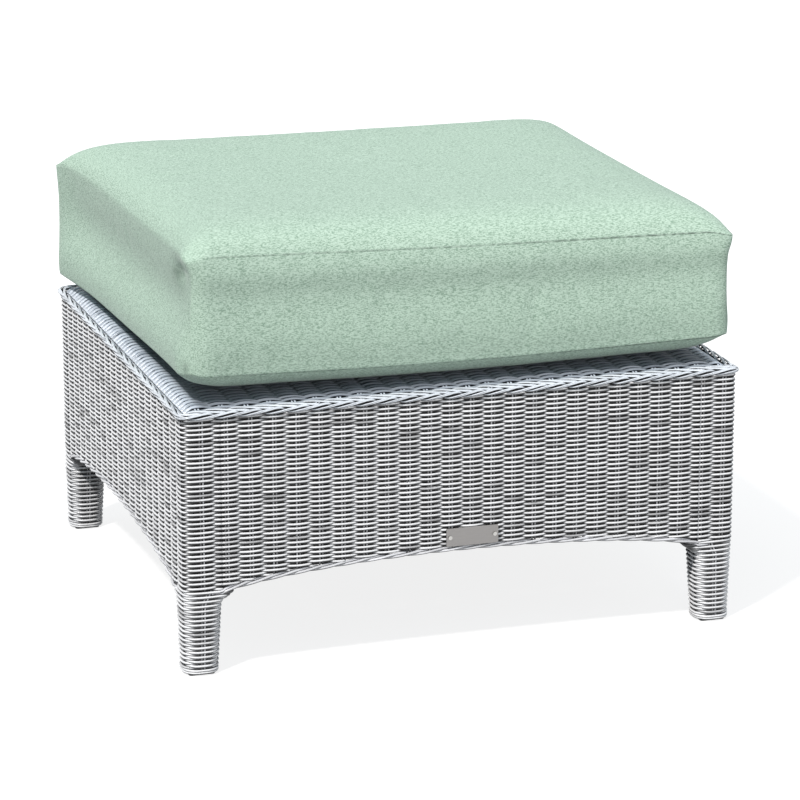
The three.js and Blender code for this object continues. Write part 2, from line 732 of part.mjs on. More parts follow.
// A channel that rides over the chain, with a staple for the pull on its back
function zipSlider() {
  const half = SLIDER_WIDTH / 2;
  const channel = CHAIN_WIDTH / 2 + FIT_GAP;
  const under = CHAIN_PROUD + FIT_GAP;
  const back = under + SLIDER_THICKNESS;
  const body = alongZip(
    [
      [FIT_GAP, -half],
      [back, -half],
      [back, half],
      [FIT_GAP, half],
      [FIT_GAP, channel],
      [under, channel],
      [under, -channel],
      [FIT_GAP, -channel],
    ],
    -SLIDER_LENGTH / 2,
    SLIDER_LENGTH / 2,
  );
  const inner = back + PULL_THICKNESS + 2 * FIT_GAP;
  const staple = boxBetween(
    [-BAIL_LENGTH / 2, back - SLIDER_THICKNESS / 2, -BAIL_WIDTH / 2],
    [BAIL_LENGTH / 2, inner + BAIL_THICKNESS, BAIL_WIDTH / 2],
  );
  const reach = BAIL_LENGTH / 2 - BAIL_THICKNESS;
  const hole = boxBetween([-reach, back, -BAIL_WIDTH], [reach, inner, BAIL_WIDTH]);
  return toGeometry(toSolid(body).add(toSolid(staple)).subtract(toSolid(hole)));
}

// The tab lies along +X from its axis, which runs through the staple
function zipPull() {
  const half = PULL_WIDTH / 2;
  const armInside = BAIL_WIDTH / 2 + FIT_GAP;
  const armEnd = BAIL_LENGTH / 2 + 2 * FIT_GAP;
  const shape = new THREE.Shape();
  shape.moveTo(0, -half);
  shape.lineTo(PULL_LENGTH - half, -half);
  shape.absarc(PULL_LENGTH - half, 0, half, -Math.PI / 2, Math.PI / 2, false);
  shape.lineTo(0, half);
  shape.lineTo(0, armInside);
  shape.lineTo(armEnd, armInside);
  shape.lineTo(armEnd, -armInside);
  shape.lineTo(0, -armInside);
  const tab = new THREE.ExtrudeGeometry(shape, {
    depth: PULL_THICKNESS,
    bevelEnabled: false,
    curveSegments: PULL_SIDES / 2,
  })
    .rotateX(Math.PI / 2)
    .translate(0, PULL_THICKNESS / 2, 0);
  const bar = new THREE.CylinderGeometry(PULL_THICKNESS / 2, PULL_THICKNESS / 2, PULL_WIDTH, PULL_SIDES);
  return toGeometry(toSolid(tab).add(toSolid(bar.rotateX(Math.PI / 2))));
}

function buildZip() {
  const group = new THREE.Group();
  group.position.set(0, zipFace, zipHeight);
  const leftStop = named("zip_stop_left", zipStop(), ZIP_METAL);
  leftStop.position.x = -chainReach - FIT_GAP - STOP_LENGTH;
  const rightStop = named("zip_stop_right", zipStop(), ZIP_METAL);
  rightStop.position.x = chainReach + FIT_GAP;
  const slider = named("zip_slider", zipSlider(), ZIP_METAL);
  slider.position.x = sliderX;
  const pull = named("zip_pull", zipPull(), ZIP_METAL);
  pull.position.set(sliderX, pullDepth, 0);
  return group.add(named("cushion_zip", zipChain(), ZIP_TAPE), leftStop, rightStop, slider, pull);
}

export default new THREE.Group().add(buildLegs(), buildWalls(), buildDeck(), buildCushion(), buildZip());
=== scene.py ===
"""Outdoor ottoman footstool: wicker woven over an aluminium frame, with a loose box cushion on its deck.

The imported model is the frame. Plan sizes are in millimetres, as in the model's source, and become metres
where a mesh is made. The front faces -Y and the floor is z = 0.
"""

import json
import logging
import math
from dataclasses import dataclass, field
from enum import Enum
from typing import Callable, Sequence

import bmesh
import bpy
import numpy as np
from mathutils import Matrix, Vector

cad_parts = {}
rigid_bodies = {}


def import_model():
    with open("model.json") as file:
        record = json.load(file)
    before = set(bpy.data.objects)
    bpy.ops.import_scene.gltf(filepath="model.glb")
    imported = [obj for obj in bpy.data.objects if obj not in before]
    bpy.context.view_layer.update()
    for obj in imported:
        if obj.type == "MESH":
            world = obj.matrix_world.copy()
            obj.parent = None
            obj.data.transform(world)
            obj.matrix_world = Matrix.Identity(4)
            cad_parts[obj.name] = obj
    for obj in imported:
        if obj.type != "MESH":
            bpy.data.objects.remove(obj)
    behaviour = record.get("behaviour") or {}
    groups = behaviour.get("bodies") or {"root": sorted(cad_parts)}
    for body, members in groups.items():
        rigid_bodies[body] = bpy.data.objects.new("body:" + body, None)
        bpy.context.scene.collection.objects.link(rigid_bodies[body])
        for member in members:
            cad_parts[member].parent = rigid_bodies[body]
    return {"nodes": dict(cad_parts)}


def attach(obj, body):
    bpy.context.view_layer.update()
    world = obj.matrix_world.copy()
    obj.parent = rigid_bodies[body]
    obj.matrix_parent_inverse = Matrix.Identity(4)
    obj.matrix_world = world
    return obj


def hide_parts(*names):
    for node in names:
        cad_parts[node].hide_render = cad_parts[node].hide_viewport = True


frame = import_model()

MM = 0.001
CORNER_CUT = 2.0 - math.pi / 2.0  # how much shorter a rounded corner is than a square one, in radii
WAVE_POWER = 0.62  # below 1 a row changes quickly between the front and the back of the stakes
LEG_STAKES = 4  # a leg's outline has one stake in the middle of each side
WHITE = (1.0, 1.0, 1.0, 1.0)
Colour = tuple[float, float, float, float]
Cells = tuple[int, int, int]
ON_PANEL = 0.999  # heights on the cushion's cube beyond this lie on its top or bottom panel
log = logging.getLogger("ottoman")


class Side(Enum):
    """The four sides of the base, as quarter turns from the front, anticlockwise from above."""

    FRONT = 0
    RIGHT = 1
    REAR = 2
    LEFT = 3


class Grain(Enum):
    """How the threads of a cloth lie on the piece."""

    CANVAS = "canvas"
    WADDING = "wadding"


class Lamp(Enum):
    """Kinds of lamp, by the names that the lights have."""

    SUN = "SUN"
    PANEL = "AREA"


# Shared helpers


def smooth_share(value: np.ndarray | float, low: float, high: float) -> np.ndarray:
    """Returns a share that goes smoothly from 0 at low to 1 at high."""
    share = np.clip((np.asarray(value, float) - low) / (high - low), 0.0, 1.0)
    return share * share * (3.0 - 2.0 * share)


def shade_smooth(mesh: bpy.types.Mesh) -> None:
    """Turns on smooth shading for every face of a mesh."""
    mesh.polygons.foreach_set("use_smooth", np.ones(len(mesh.polygons), bool))


def put_in_scene(name: str, mesh: bpy.types.Mesh) -> bpy.types.Object:
    """Returns a new object that shows a mesh, at the origin.

    Args:
        name: Name of the object.
        mesh: The mesh.

    Returns:
        The object.
    """
    piece = bpy.data.objects.new(name, mesh)
    bpy.context.scene.collection.objects.link(piece)
    return piece


@dataclass(frozen=True)
class StakeLoop:
    """A closed rounded outline in plan, with stakes standing along its four sides.

    A place on it is given by a stake count that starts at the first stake of the front and rises
    anticlockwise, and by how far outside the outline it lies.
    """

    half_x: float
    half_y: float
    radius: float
    stakes_x: tuple[float, ...]
    stakes_y: tuple[float, ...]
    centre: tuple[float, float] = (0.0, 0.0)

    @property
    def count(self) -> int:
        """Returns the number of stakes round the outline."""
        return 2 * (len(self.stakes_x) + len(self.stakes_y))

    def stakes_of(self, side: Side) -> tuple[float, ...]:
        """Returns the places of the stakes along a side, from its left end seen from outside."""
        stakes = self.stakes_x if side in (Side.FRONT, Side.REAR) else self.stakes_y
        return stakes if side in (Side.FRONT, Side.RIGHT) else tuple(-place for place in reversed(stakes))

    def first_stake(self, side: Side) -> int:
        """Returns the count of the first stake on a side."""
        pair = len(self.stakes_x), len(self.stakes_y)
        return sum(pair[quarter % 2] for quarter in range(side.value))

    def face(self, side: Side) -> tuple[float, float]:
        """Returns the half length of a side and its distance from the middle."""
        sizes = self.half_x, self.half_y
        return sizes if side in (Side.FRONT, Side.REAR) else sizes[::-1]

    def corner_run(self, side: Side, out: np.ndarray | float) -> tuple[np.ndarray, np.ndarray, np.ndarray]:
        """Measures the corner at the end of a side.

        Args:
            side: The side before the corner.
            out: How far outside the outline.

        Returns:
            Its length before the corner point, its length after it, and its bend radius.
        """
        half_length, depth = self.face(side)
        following = Side((side.value + 1) % 4)
        run_in = half_length + out - self.stakes_of(side)[-1]
        run_out = depth + out + self.stakes_of(following)[0]
        bend = np.clip(self.radius + out, 0.8, np.minimum(run_in, run_out) - 0.01)
        return run_in, run_out, bend

    def count_at(self, side: Side, along: float) -> float:
        """Returns the stake count of a place along a side, beyond its last stakes too.

        Args:
            side: The side.
            along: The place, from the middle of the side.

        Returns:
            The count.
        """
        stakes = np.array(self.stakes_of(side))
        first = self.first_stake(side)
        if stakes[0] <= along <= stakes[-1]:
            return first + float(np.interp(along, stakes, np.arange(len(stakes))))
        before = Side((side.value + 3) % 4)
        run_in, run_out, bend = self.corner_run(side if along > 0 else before, 0.0)
        whole = float(run_in + run_out - CORNER_CUT * bend)
        if along > 0:
            return first + len(stakes) - 1 + (along - stakes[-1]) / whole
        return first - (stakes[0] - along) / whole

    def place(self, counts: np.ndarray, out: np.ndarray | float) -> tuple[np.ndarray, np.ndarray]:
        """Finds the plan places of stake counts.

        Args:
            counts: Stake counts, whole at the stakes.
            out: How far outside the outline, negative inside.

        Returns:
            The x and the y of each place.
        """
        counts = np.mod(np.asarray(counts, float), self.count)
        out = np.broadcast_to(np.asarray(out, float), counts.shape)
        x = np.zeros_like(counts)
        y = np.zeros_like(counts)
        for side in Side:
            stakes = np.array(self.stakes_of(side))
            first = self.first_stake(side)
            local = counts - first
            mine = (local >= 0) & (local < len(stakes))
            if not mine.any():
                continue
            local, spread = local[mine], out[mine]
            _, depth = self.face(side)
            run_in, run_out, bend = self.corner_run(side, spread)
            whole = run_in + run_out - CORNER_CUT * bend
            gone = np.clip(local - (len(stakes) - 1), 0.0, 1.0) * whole
            turn = np.clip((gone - run_in + bend) / bend, 0.0, math.pi / 2.0)
            straight_in = np.minimum(gone, run_in - bend)
            straight_out = np.maximum(gone - run_in + bend - bend * math.pi / 2.0, 0.0)
            on_side = np.interp(local, np.arange(len(stakes)), stakes)
            along = on_side + straight_in + bend * np.sin(turn)
            away = depth + spread - bend * (1.0 - np.cos(turn)) - straight_out
            angle = side.value * math.pi / 2.0
            x[mine] = along * math.cos(angle) + away * math.sin(angle) + self.centre[0]
            y[mine] = along * math.sin(angle) - away * math.cos(angle) + self.centre[1]
        return x, y


@dataclass
class StrandBundle:
    """Round strands laid along runs of points, which become one mesh of tubes."""

    runs: list[tuple[np.ndarray, ...]] = field(default_factory=list)
    cap_length: float = 0.15
    cap_radius: float = 0.02

    def lay(
        self,
        points: np.ndarray,
        radius: np.ndarray | float,
        tone: np.ndarray | float,
        recess: np.ndarray | float = 0.0,
    ) -> None:
        """Adds a strand.

        Args:
            points: Its middle line, one row of x, y and z in millimetres for each point.
            radius: Its radius at each point, in millimetres.
            tone: How pale it is at each point, from 0 to 1.
            recess: How deep it lies in the shade of other strands at each point, from 0 to 1.
        """
        points = np.asarray(points, float)
        values = [np.broadcast_to(value, len(points)).astype(float) for value in (radius, tone, recess)]
        ends = [self._cap(points[0], points[1]), self._cap(points[-1], points[-2])]
        points = np.vstack([ends[0], points, ends[1]])
        radius, tone, recess = (np.concatenate([value[:1], value, value[-1:]]) for value in values)
        radius[[0, -1]] = self.cap_radius
        self.runs.append((points, radius, tone, recess))

    def _cap(self, last: np.ndarray, before: np.ndarray) -> np.ndarray:
        """Returns the point just beyond an end of a strand, where it closes."""
        run = last - before
        return last + run / max(float(np.linalg.norm(run)), 1e-6) * self.cap_length

    def to_piece(self, name: str) -> bpy.types.Object:
        """Makes the tubes.

        Args:
            name: Name of the piece.

        Returns:
            A mesh piece with point attributes named tone and recess.
        """
        curve = bpy.data.curves.new(name + "_line", "CURVE")
        curve.dimensions = "3D"
        curve.bevel_depth = 1.0
        curve.bevel_resolution = 1
        for points, radius, _, _ in self.runs:
            spline = curve.splines.new("POLY")
            spline.points.add(len(points) - 1)
            ends = np.column_stack([points * MM, np.ones(len(points))])
            spline.points.foreach_set("co", ends.astype(np.float32).ravel())
            spline.points.foreach_set("radius", (radius * MM).astype(np.float32))
        holder = bpy.data.objects.new(name + "_line", curve)
        bpy.context.scene.collection.objects.link(holder)
        depsgraph = bpy.context.evaluated_depsgraph_get()
        mesh = bpy.data.meshes.new_from_object(holder.evaluated_get(depsgraph))
        bpy.data.objects.remove(holder)
        bpy.data.curves.remove(curve)
        mesh.name = name
        for place, label in ((2, "tone"), (3, "recess")):
            levels = np.concatenate([run[place] for run in self.runs])
            corners = len(mesh.vertices) // len(levels)
            values = mesh.attributes.new(label, "FLOAT", "POINT")
            values.data.foreach_set("value", np.repeat(levels, corners).astype(np.float32))
        shade_smooth(mesh)
        return put_in_scene(name, mesh)


def weave_wave(counts: np.ndarray, row: int) -> np.ndarray:
    """Returns 1 where a row passes before a stake, and -1 where it passes behind one."""
    wave = np.cos(math.pi * (counts + row))
    return np.sign(wave) * np.abs(wave) ** WAVE_POWER


class HandLaid:
    """Seeded unevenness of strands that were laid by hand, as tables over rows and stakes."""

    sag_spread = 0.16
    swing_spread = 0.05
    pale_chance = 0.78
    dark_above = 0.95
    pale_tones = (0.86, 1.0)
    dull_tones = (0.55, 0.85)
    dark_tones = (0.3, 0.55)

    def __init__(self, rows: int, stakes: int, seed: int) -> None:
        """Draws the tables.

        Args:
            rows: Number of rows.
            stakes: Number of stakes that each row passes.
            seed: Start of the random numbers.
        """
        rng = np.random.default_rng(seed)
        self.stakes = stakes
        self.sag = rng.normal(0.0, self.sag_spread, (rows, stakes))
        self.swing = rng.normal(1.0, self.swing_spread, (rows, stakes))
        self.tone = np.stack([self._stretches(rng, stakes) for _ in range(rows)])

    def _stretches(self, rng: np.random.Generator, stakes: int) -> np.ndarray:
        """Returns one row's tones, each kept for a few stakes.

        Args:
            rng: Source of the random draws.
            stakes: How many stakes there are.

        Returns:
            One tone for each stake.
        """
        tones = np.zeros(stakes)
        at = 0
        while at < stakes:
            length = int(rng.integers(1, 4))
            kind = rng.random()
            level = rng.uniform(*(self.pale_tones if kind < self.pale_chance else self.dull_tones))
            if kind > self.dark_above:
                level = rng.uniform(*self.dark_tones)
            tones[at : at + length] = level
            at += length
        return tones

    def read(self, table: np.ndarray, row: int, counts: np.ndarray) -> np.ndarray:
        """Returns a table's values at stake counts of a row, closed into a loop."""
        values = np.append(table[row % len(table)], table[row % len(table)][0])
        return np.interp(np.mod(counts, self.stakes), np.arange(self.stakes + 1), values)


# Finishes


class ShaderSketch:
    """Short ways to add and join the nodes of one material or group."""

    def __init__(self, tree: bpy.types.NodeTree) -> None:
        """Keeps the tree that the nodes go in."""
        self.tree = tree

    def node(self, kind: str, **settings: object) -> bpy.types.Node:
        """Returns a new node with some of its settings given.

        Args:
            kind: Name of its type.
            settings: Values of its properties.

        Returns:
            The node.
        """
        made = self.tree.nodes.new(kind)
        for name, value in settings.items():
            setattr(made, name, value)
        return made

    def join(self, source: object, target: bpy.types.NodeSocket) -> None:
        """Links a socket to another, or sets a plain value on it."""
        if isinstance(source, bpy.types.NodeSocket):
            self.tree.links.new(source, target)
        else:
            target.default_value = source

    def maths(
        self, operation: str, first: object, second: object = 0.0, clamp: bool = False
    ) -> bpy.types.NodeSocket:
        """Returns the result of a Math node.

        Args:
            operation: Its operation.
            first: First socket or number.
            second: Second socket or number.
            clamp: Whether the result is kept between 0 and 1.

        Returns:
            The result.
        """
        made = self.node("ShaderNodeMath", operation=operation, use_clamp=clamp)
        self.join(first, made.inputs[0])
        self.join(second, made.inputs[1])
        return made.outputs[0]

    def times(self, first: object, second: object) -> bpy.types.NodeSocket:
        """Returns a product."""
        return self.maths("MULTIPLY", first, second)

    def plus(self, first: object, second: object) -> bpy.types.NodeSocket:
        """Returns a sum."""
        return self.maths("ADD", first, second)

    def around_zero(self, value: object, share: object) -> bpy.types.NodeSocket:
        """Returns a share of how far a value lies above or below one half."""
        return self.times(self.maths("SUBTRACT", value, 0.5), share)

    def attribute(self, name: str) -> bpy.types.NodeSocket:
        """Returns a value that the mesh holds at its points."""
        return self.node("ShaderNodeAttribute", attribute_name=name).outputs["Fac"]

    def parts(self, vector: object) -> bpy.types.NodeOutputs:
        """Returns the X, Y and Z of a vector.

        Args:
            vector: The vector.

        Returns:
            The three sockets, by their names.
        """
        made = self.node("ShaderNodeSeparateXYZ")
        self.join(vector, made.inputs["Vector"])
        return made.outputs

    def between(self, factor: object, low: object, high: object) -> bpy.types.NodeSocket:
        """Returns a colour mixed between two by a factor.

        Args:
            factor: The factor, 0 for the low colour.
            low: Colour or socket.
            high: Colour or socket.

        Returns:
            The colour.
        """
        made = self.node("ShaderNodeMix", data_type="RGBA")
        self.join(factor, made.inputs["Factor"])
        self.join(low, made.inputs[6])
        self.join(high, made.inputs[7])
        return made.outputs[2]

    def blend(self, factor: object, low: object, high: object) -> bpy.types.NodeSocket:
        """Returns a value mixed between two by a factor.

        Args:
            factor: The factor, 0 for the low value.
            low: Value or socket.
            high: Value or socket.

        Returns:
            The value.
        """
        made = self.node("ShaderNodeMix", data_type="FLOAT")
        self.join(factor, made.inputs["Factor"])
        self.join(low, made.inputs[2])
        self.join(high, made.inputs[3])
        return made.outputs[0]

    def spread(
        self, value: object, low: float, high: float, to_low: float, to_high: float
    ) -> bpy.types.NodeSocket:
        """Returns a value moved from one range to another, and kept in it.

        Args:
            value: The value.
            low: Start of the range that it comes from.
            high: End of that range.
            to_low: Start of the range that it goes to.
            to_high: End of that range.

        Returns:
            The value in the new range.
        """
        made = self.node("ShaderNodeMapRange")
        self.join(value, made.inputs["Value"])
        for name, level in (("From Min", low), ("From Max", high), ("To Min", to_low), ("To Max", to_high)):
            made.inputs[name].default_value = level
        return made.outputs["Result"]

    def noise(
        self, vector: object, scale: float, detail: float = 2.0, rough: float = 0.5
    ) -> bpy.types.NodeSocket:
        """Returns the factor of a Noise Texture.

        Args:
            vector: Where it is read.
            scale: Its scale.
            detail: Its detail.
            rough: Its roughness.

        Returns:
            The factor.
        """
        made = self.node("ShaderNodeTexNoise")
        self.join(vector, made.inputs["Vector"])
        made.inputs["Scale"].default_value = scale
        made.inputs["Detail"].default_value = detail
        made.inputs["Roughness"].default_value = rough
        return made.outputs["Fac"]

    def stretched(self, vector: object, scale: Sequence[float]) -> bpy.types.NodeSocket:
        """Returns coordinates scaled by a different amount along each axis.

        Args:
            vector: The coordinates.
            scale: The amount for X, Y and Z.

        Returns:
            The scaled coordinates.
        """
        made = self.node("ShaderNodeMapping")
        self.join(vector, made.inputs["Vector"])
        made.inputs["Scale"].default_value = tuple(scale)
        return made.outputs["Vector"]

    def bump(self, height: object, strength: float, distance: float) -> bpy.types.NodeSocket:
        """Returns a normal bent by a height.

        Args:
            height: The height.
            strength: How strongly it bends.
            distance: The height of 1, in metres.

        Returns:
            The normal.
        """
        made = self.node("ShaderNodeBump")
        made.inputs["Strength"].default_value = strength
        made.inputs["Distance"].default_value = distance
        self.join(height, made.inputs["Height"])
        return made.outputs["Normal"]


def new_group(name: str, inputs: dict[str, float], outputs: Sequence[str]) -> bpy.types.NodeTree:
    """Makes an empty shader node group of plain values.

    Args:
        name: Name of the group.
        inputs: First value of each input.
        outputs: Name of each output.

    Returns:
        The group's tree.
    """
    group = bpy.data.node_groups.new(name, "ShaderNodeTree")
    for label, value in inputs.items():
        socket = group.interface.new_socket(label, in_out="INPUT", socket_type="NodeSocketFloat")
        socket.default_value = value
    for label in outputs:
        group.interface.new_socket(label, in_out="OUTPUT", socket_type="NodeSocketFloat")
    return group


class FineGrain:
    """Shader group: fine speckle and broad mottling at a given size, used by every finish."""

    tree: bpy.types.NodeTree | None = None

    @classmethod
    def place(cls, sketch: ShaderSketch, size: float, depth: float) -> bpy.types.Node:
        """Adds the group to a material.

        Args:
            sketch: The material's sketch.
            size: Width of a speckle in metres.
            depth: How strongly the speckle shows, from 0 to 1.

        Returns:
            The group node, with outputs Speckle, Mottle and Height.
        """
        if cls.tree is None:
            cls.tree = cls._build()
        made = sketch.node("ShaderNodeGroup", node_tree=cls.tree)
        made.inputs["Size"].default_value = size
        made.inputs["Depth"].default_value = depth
        return made

    @staticmethod
    def _build() -> bpy.types.NodeTree:
        """Builds the group.

        Returns:
            Its tree.
        """
        group = new_group("fine_grain", {"Size": 0.001, "Depth": 0.5}, ("Speckle", "Mottle", "Height"))
        sketch = ShaderSketch(group)
        given = sketch.node("NodeGroupInput")
        result = sketch.node("NodeGroupOutput")
        place = sketch.node("ShaderNodeTexCoord").outputs["Object"]
        fine = sketch.node("ShaderNodeTexNoise")
        sketch.join(place, fine.inputs["Vector"])
        sketch.join(sketch.maths("DIVIDE", 1.0, given.outputs["Size"]), fine.inputs["Scale"])
        fine.inputs["Detail"].default_value = 3.0
        speckle = sketch.around_zero(fine.outputs["Fac"], given.outputs["Depth"])
        sketch.join(sketch.plus(0.5, speckle), result.inputs["Speckle"])
        sketch.join(sketch.noise(place, 18.0, 4.0, 0.6), result.inputs["Mottle"])
        sketch.join(fine.outputs["Fac"], result.inputs["Height"])
        return group


def start_material(name: str) -> tuple[bpy.types.Material, ShaderSketch, bpy.types.Node]:
    """Returns a new material, its sketch and its Principled BSDF.

    Args:
        name: Name of the material.

    Returns:
        The material, its sketch and its node.
    """
    material = bpy.data.materials.new(name)
    material.use_nodes = True
    sketch = ShaderSketch(material.node_tree)
    return material, sketch, material.node_tree.nodes["Principled BSDF"]


@dataclass(frozen=True)
class WickerFinish:
    """Whitewashed round wicker, pale above, with painted shade: grey beneath and near black where it lies
    deep in the weave.
    """

    name: str
    pale: Colour = (0.93, 0.93, 0.945, 1.0)
    grey: Colour = (0.13, 0.13, 0.135, 1.0)
    # deep is the colour of painted shade; beneath is how much of a strand's colour stays on its downward
    # faces under that painted shade.
    deep: Colour = (0.028, 0.0275, 0.028, 1.0)
    beneath: float = 0.05
    roughness: float = 0.4

    def make(self) -> bpy.types.Material:
        """Builds the shader.

        Returns:
            The material.
        """
        material, sketch, surface = start_material(self.name)
        grain = FineGrain.place(sketch, 0.0012, 0.5)
        speckle = sketch.around_zero(grain.outputs["Speckle"], 0.4)
        mottle = sketch.around_zero(grain.outputs["Mottle"], 0.08)
        level = sketch.maths("ADD", sketch.plus(sketch.attribute("tone"), speckle), mottle, clamp=True)
        washed = sketch.between(level, self.grey, self.pale)
        # Painted shade: downward faces go towards the deep colour, and so does whatever the recess attribute
        # marks.
        facing = sketch.parts(sketch.node("ShaderNodeNewGeometry").outputs["Normal"])
        under = sketch.spread(facing["Z"], -0.75, -0.05, 1.0 - self.beneath, 0.0)
        recess = sketch.attribute("recess")
        shaded = sketch.between(recess, sketch.between(under, washed, self.deep), self.deep)
        sketch.join(shaded, surface.inputs["Base Color"])
        dull = sketch.spread(grain.outputs["Mottle"], 0.3, 0.7, self.roughness - 0.06, self.roughness + 0.1)
        sketch.join(dull, surface.inputs["Roughness"])
        sketch.join(sketch.bump(grain.outputs["Height"], 0.25, 0.0002), surface.inputs["Normal"])
        hidden = sketch.maths("MAXIMUM", recess, under)
        sketch.join(sketch.spread(hidden, 0.0, 0.7, 0.9, 0.0), surface.inputs["Coat Weight"])
        surface.inputs["Coat Roughness"].default_value = 0.25
        surface.inputs["Specular IOR Level"].default_value = 0.25
        return material


@dataclass(frozen=True)
class ClothFinish:
    """Melange canvas of two greens, darker along its thin seams and with painted shade in its folds, or
    plain wadding.
    """

    name: str
    grain: Grain = Grain.CANVAS
    base: Colour = (0.56, 0.715, 0.59, 1.0)
    deep: Colour = (0.29, 0.42, 0.32, 1.0)
    # crease is the colour of the painted shade in folds.
    crease: Colour = (0.10, 0.14, 0.115, 1.0)
    stitch: Colour = (0.09, 0.12, 0.10, 1.0)
    weft_share: float = 0.72
    fluff_share: float = 0.18
    seam_width: float = 0.0011

    def make(self) -> bpy.types.Material:
        """Builds the shader.

        Returns:
            The material.
        """
        material, sketch, surface = start_material(self.name)
        grain = FineGrain.place(sketch, 0.0011, 1.0)
        surface.inputs["Roughness"].default_value = 0.92
        if self.grain is Grain.WADDING:
            mottled = sketch.between(grain.outputs["Mottle"], self.deep, self.base)
            sketch.join(mottled, surface.inputs["Base Color"])
            sketch.join(sketch.bump(grain.outputs["Height"], 0.6, 0.001), surface.inputs["Normal"])
            return material
        place = sketch.node("ShaderNodeTexCoord").outputs["Object"]
        threads = self._threads(sketch, place)
        fluff = sketch.around_zero(grain.outputs["Speckle"], self.fluff_share)
        level = sketch.spread(sketch.plus(threads, fluff), 0.45, 0.505, 0.0, 1.0)
        canvas = sketch.between(level, self.deep, self.base)
        # Painted shade: the fold attribute darkens the canvas towards the crease colour.
        folded = sketch.between(sketch.attribute("fold"), canvas, self.crease)
        seamed = sketch.between(self._seam_line(sketch, place), folded, self.stitch)
        sketch.join(seamed, surface.inputs["Base Color"])
        sketch.join(sketch.bump(threads, 0.2, 0.0006), surface.inputs["Normal"])
        surface.inputs["Sheen Weight"].default_value = 0.15
        surface.inputs["Sheen Roughness"].default_value = 0.5
        surface.inputs["Specular IOR Level"].default_value = 0.25
        return material

    def _threads(self, sketch: ShaderSketch, place: bpy.types.NodeSocket) -> bpy.types.NodeSocket:
        """Returns the height of the weft and the warp, which turn with the way that the cloth faces.

        Args:
            sketch: The material's sketch.
            place: Coordinates on the cloth.

        Returns:
            The height.
        """
        across, over, rising = (
            sketch.noise(sketch.stretched(place, scale), 1.0, 2.0, 0.6)
            for scale in ((300.0, 1300.0, 1400.0), (1300.0, 300.0, 1400.0), (1400.0, 1400.0, 450.0))
        )
        facing = sketch.parts(sketch.node("ShaderNodeNewGeometry").outputs["True Normal"])
        facing_side = sketch.spread(sketch.maths("ABSOLUTE", facing["X"]), 0.6, 0.8, 0.0, 1.0)
        facing_up = sketch.spread(sketch.maths("ABSOLUTE", facing["Z"]), 0.5, 0.7, 0.0, 1.0)
        weft = sketch.times(sketch.blend(facing_side, across, over), self.weft_share)
        warp = sketch.times(sketch.blend(facing_up, rising, over), 1.0 - self.weft_share)
        return sketch.plus(weft, warp)

    def _seam_line(self, sketch: ShaderSketch, place: bpy.types.NodeSocket) -> bpy.types.NodeSocket:
        """Returns how dark the seams are: broken lines, faint at the left and pulled tight on the right.

        Args:
            sketch: The material's sketch.
            place: Coordinates on the cloth.

        Returns:
            The darkness, from 0 to 1.
        """
        line = sketch.spread(sketch.attribute("seam"), 0.0, self.seam_width, 1.0, 0.0)
        broken = sketch.spread(sketch.noise(place, 160.0, 1.0), 0.35, 0.6, 0.35, 1.0)
        along = sketch.parts(place)["X"]
        shown = sketch.spread(along, -0.283, -0.265, 0.3, 1.0)
        pulled = sketch.spread(along, 0.0, 0.2, 0.62, 0.95)
        return sketch.times(sketch.times(line, shown), sketch.times(broken, pulled))


@dataclass(frozen=True)
class MetalFinish:
    """Metal, plain, brushed along X or powder coated, with fine scratches and duller patches."""

    name: str
    base: Colour
    metallic: float
    roughness: float
    brushed: bool = False
    grain: float = 0.0009

    def make(self) -> bpy.types.Material:
        """Builds the shader.

        Returns:
            The material.
        """
        material, sketch, surface = start_material(self.name)
        grain = FineGrain.place(sketch, self.grain, 0.6)
        surface.inputs["Metallic"].default_value = self.metallic
        dull = tuple(channel * 0.72 for channel in self.base[:3]) + (1.0,)
        mark = grain.outputs["Speckle"]
        if self.brushed:
            place = sketch.node("ShaderNodeTexCoord").outputs["Object"]
            mark = sketch.noise(sketch.stretched(place, (60.0, 3000.0, 3000.0)), 1.0, 3.0, 0.7)
        sketch.join(sketch.between(mark, dull, self.base), surface.inputs["Base Color"])
        low, high = self.roughness - 0.08, self.roughness + 0.12
        sketch.join(sketch.spread(grain.outputs["Mottle"], 0.3, 0.7, low, high), surface.inputs["Roughness"])
        sketch.join(sketch.bump(mark, 0.25, 0.0001), surface.inputs["Normal"])
        return material


@dataclass(frozen=True)
class MouldedFinish:
    """Moulded plastic or foam with a matt grain."""

    name: str
    base: Colour
    roughness: float = 0.65
    grain: float = 0.0008

    def make(self) -> bpy.types.Material:
        """Builds the shader.

        Returns:
            The material.
        """
        material, sketch, surface = start_material(self.name)
        grain = FineGrain.place(sketch, self.grain, 0.7)
        worn = tuple(min(1.0, channel * 1.35 + 0.01) for channel in self.base[:3]) + (1.0,)
        sketch.join(sketch.between(grain.outputs["Mottle"], self.base, worn), surface.inputs["Base Color"])
        rough = sketch.spread(grain.outputs["Speckle"], 0.3, 0.7, self.roughness - 0.1, self.roughness + 0.1)
        sketch.join(rough, surface.inputs["Roughness"])
        sketch.join(sketch.bump(grain.outputs["Height"], 0.3, 0.0003), surface.inputs["Normal"])
        return material


# Wicker base


@dataclass(frozen=True)
class WeaveGauge:
    """Sizes of the weave, in millimetres."""

    strand_radius: float = 1.33
    back_radius: float = 2.5
    row_pitch: float = 2.53
    swing: float = 2.3
    middle: float = 3.6
    stake_radius: float = 0.95
    stake_spread: float = 1.65
    stake_step: float = 12.0
    steps: int = 8
    behind_from: float = 0.2
    press_run: float = 2.1
    shade_run: float = 0.8


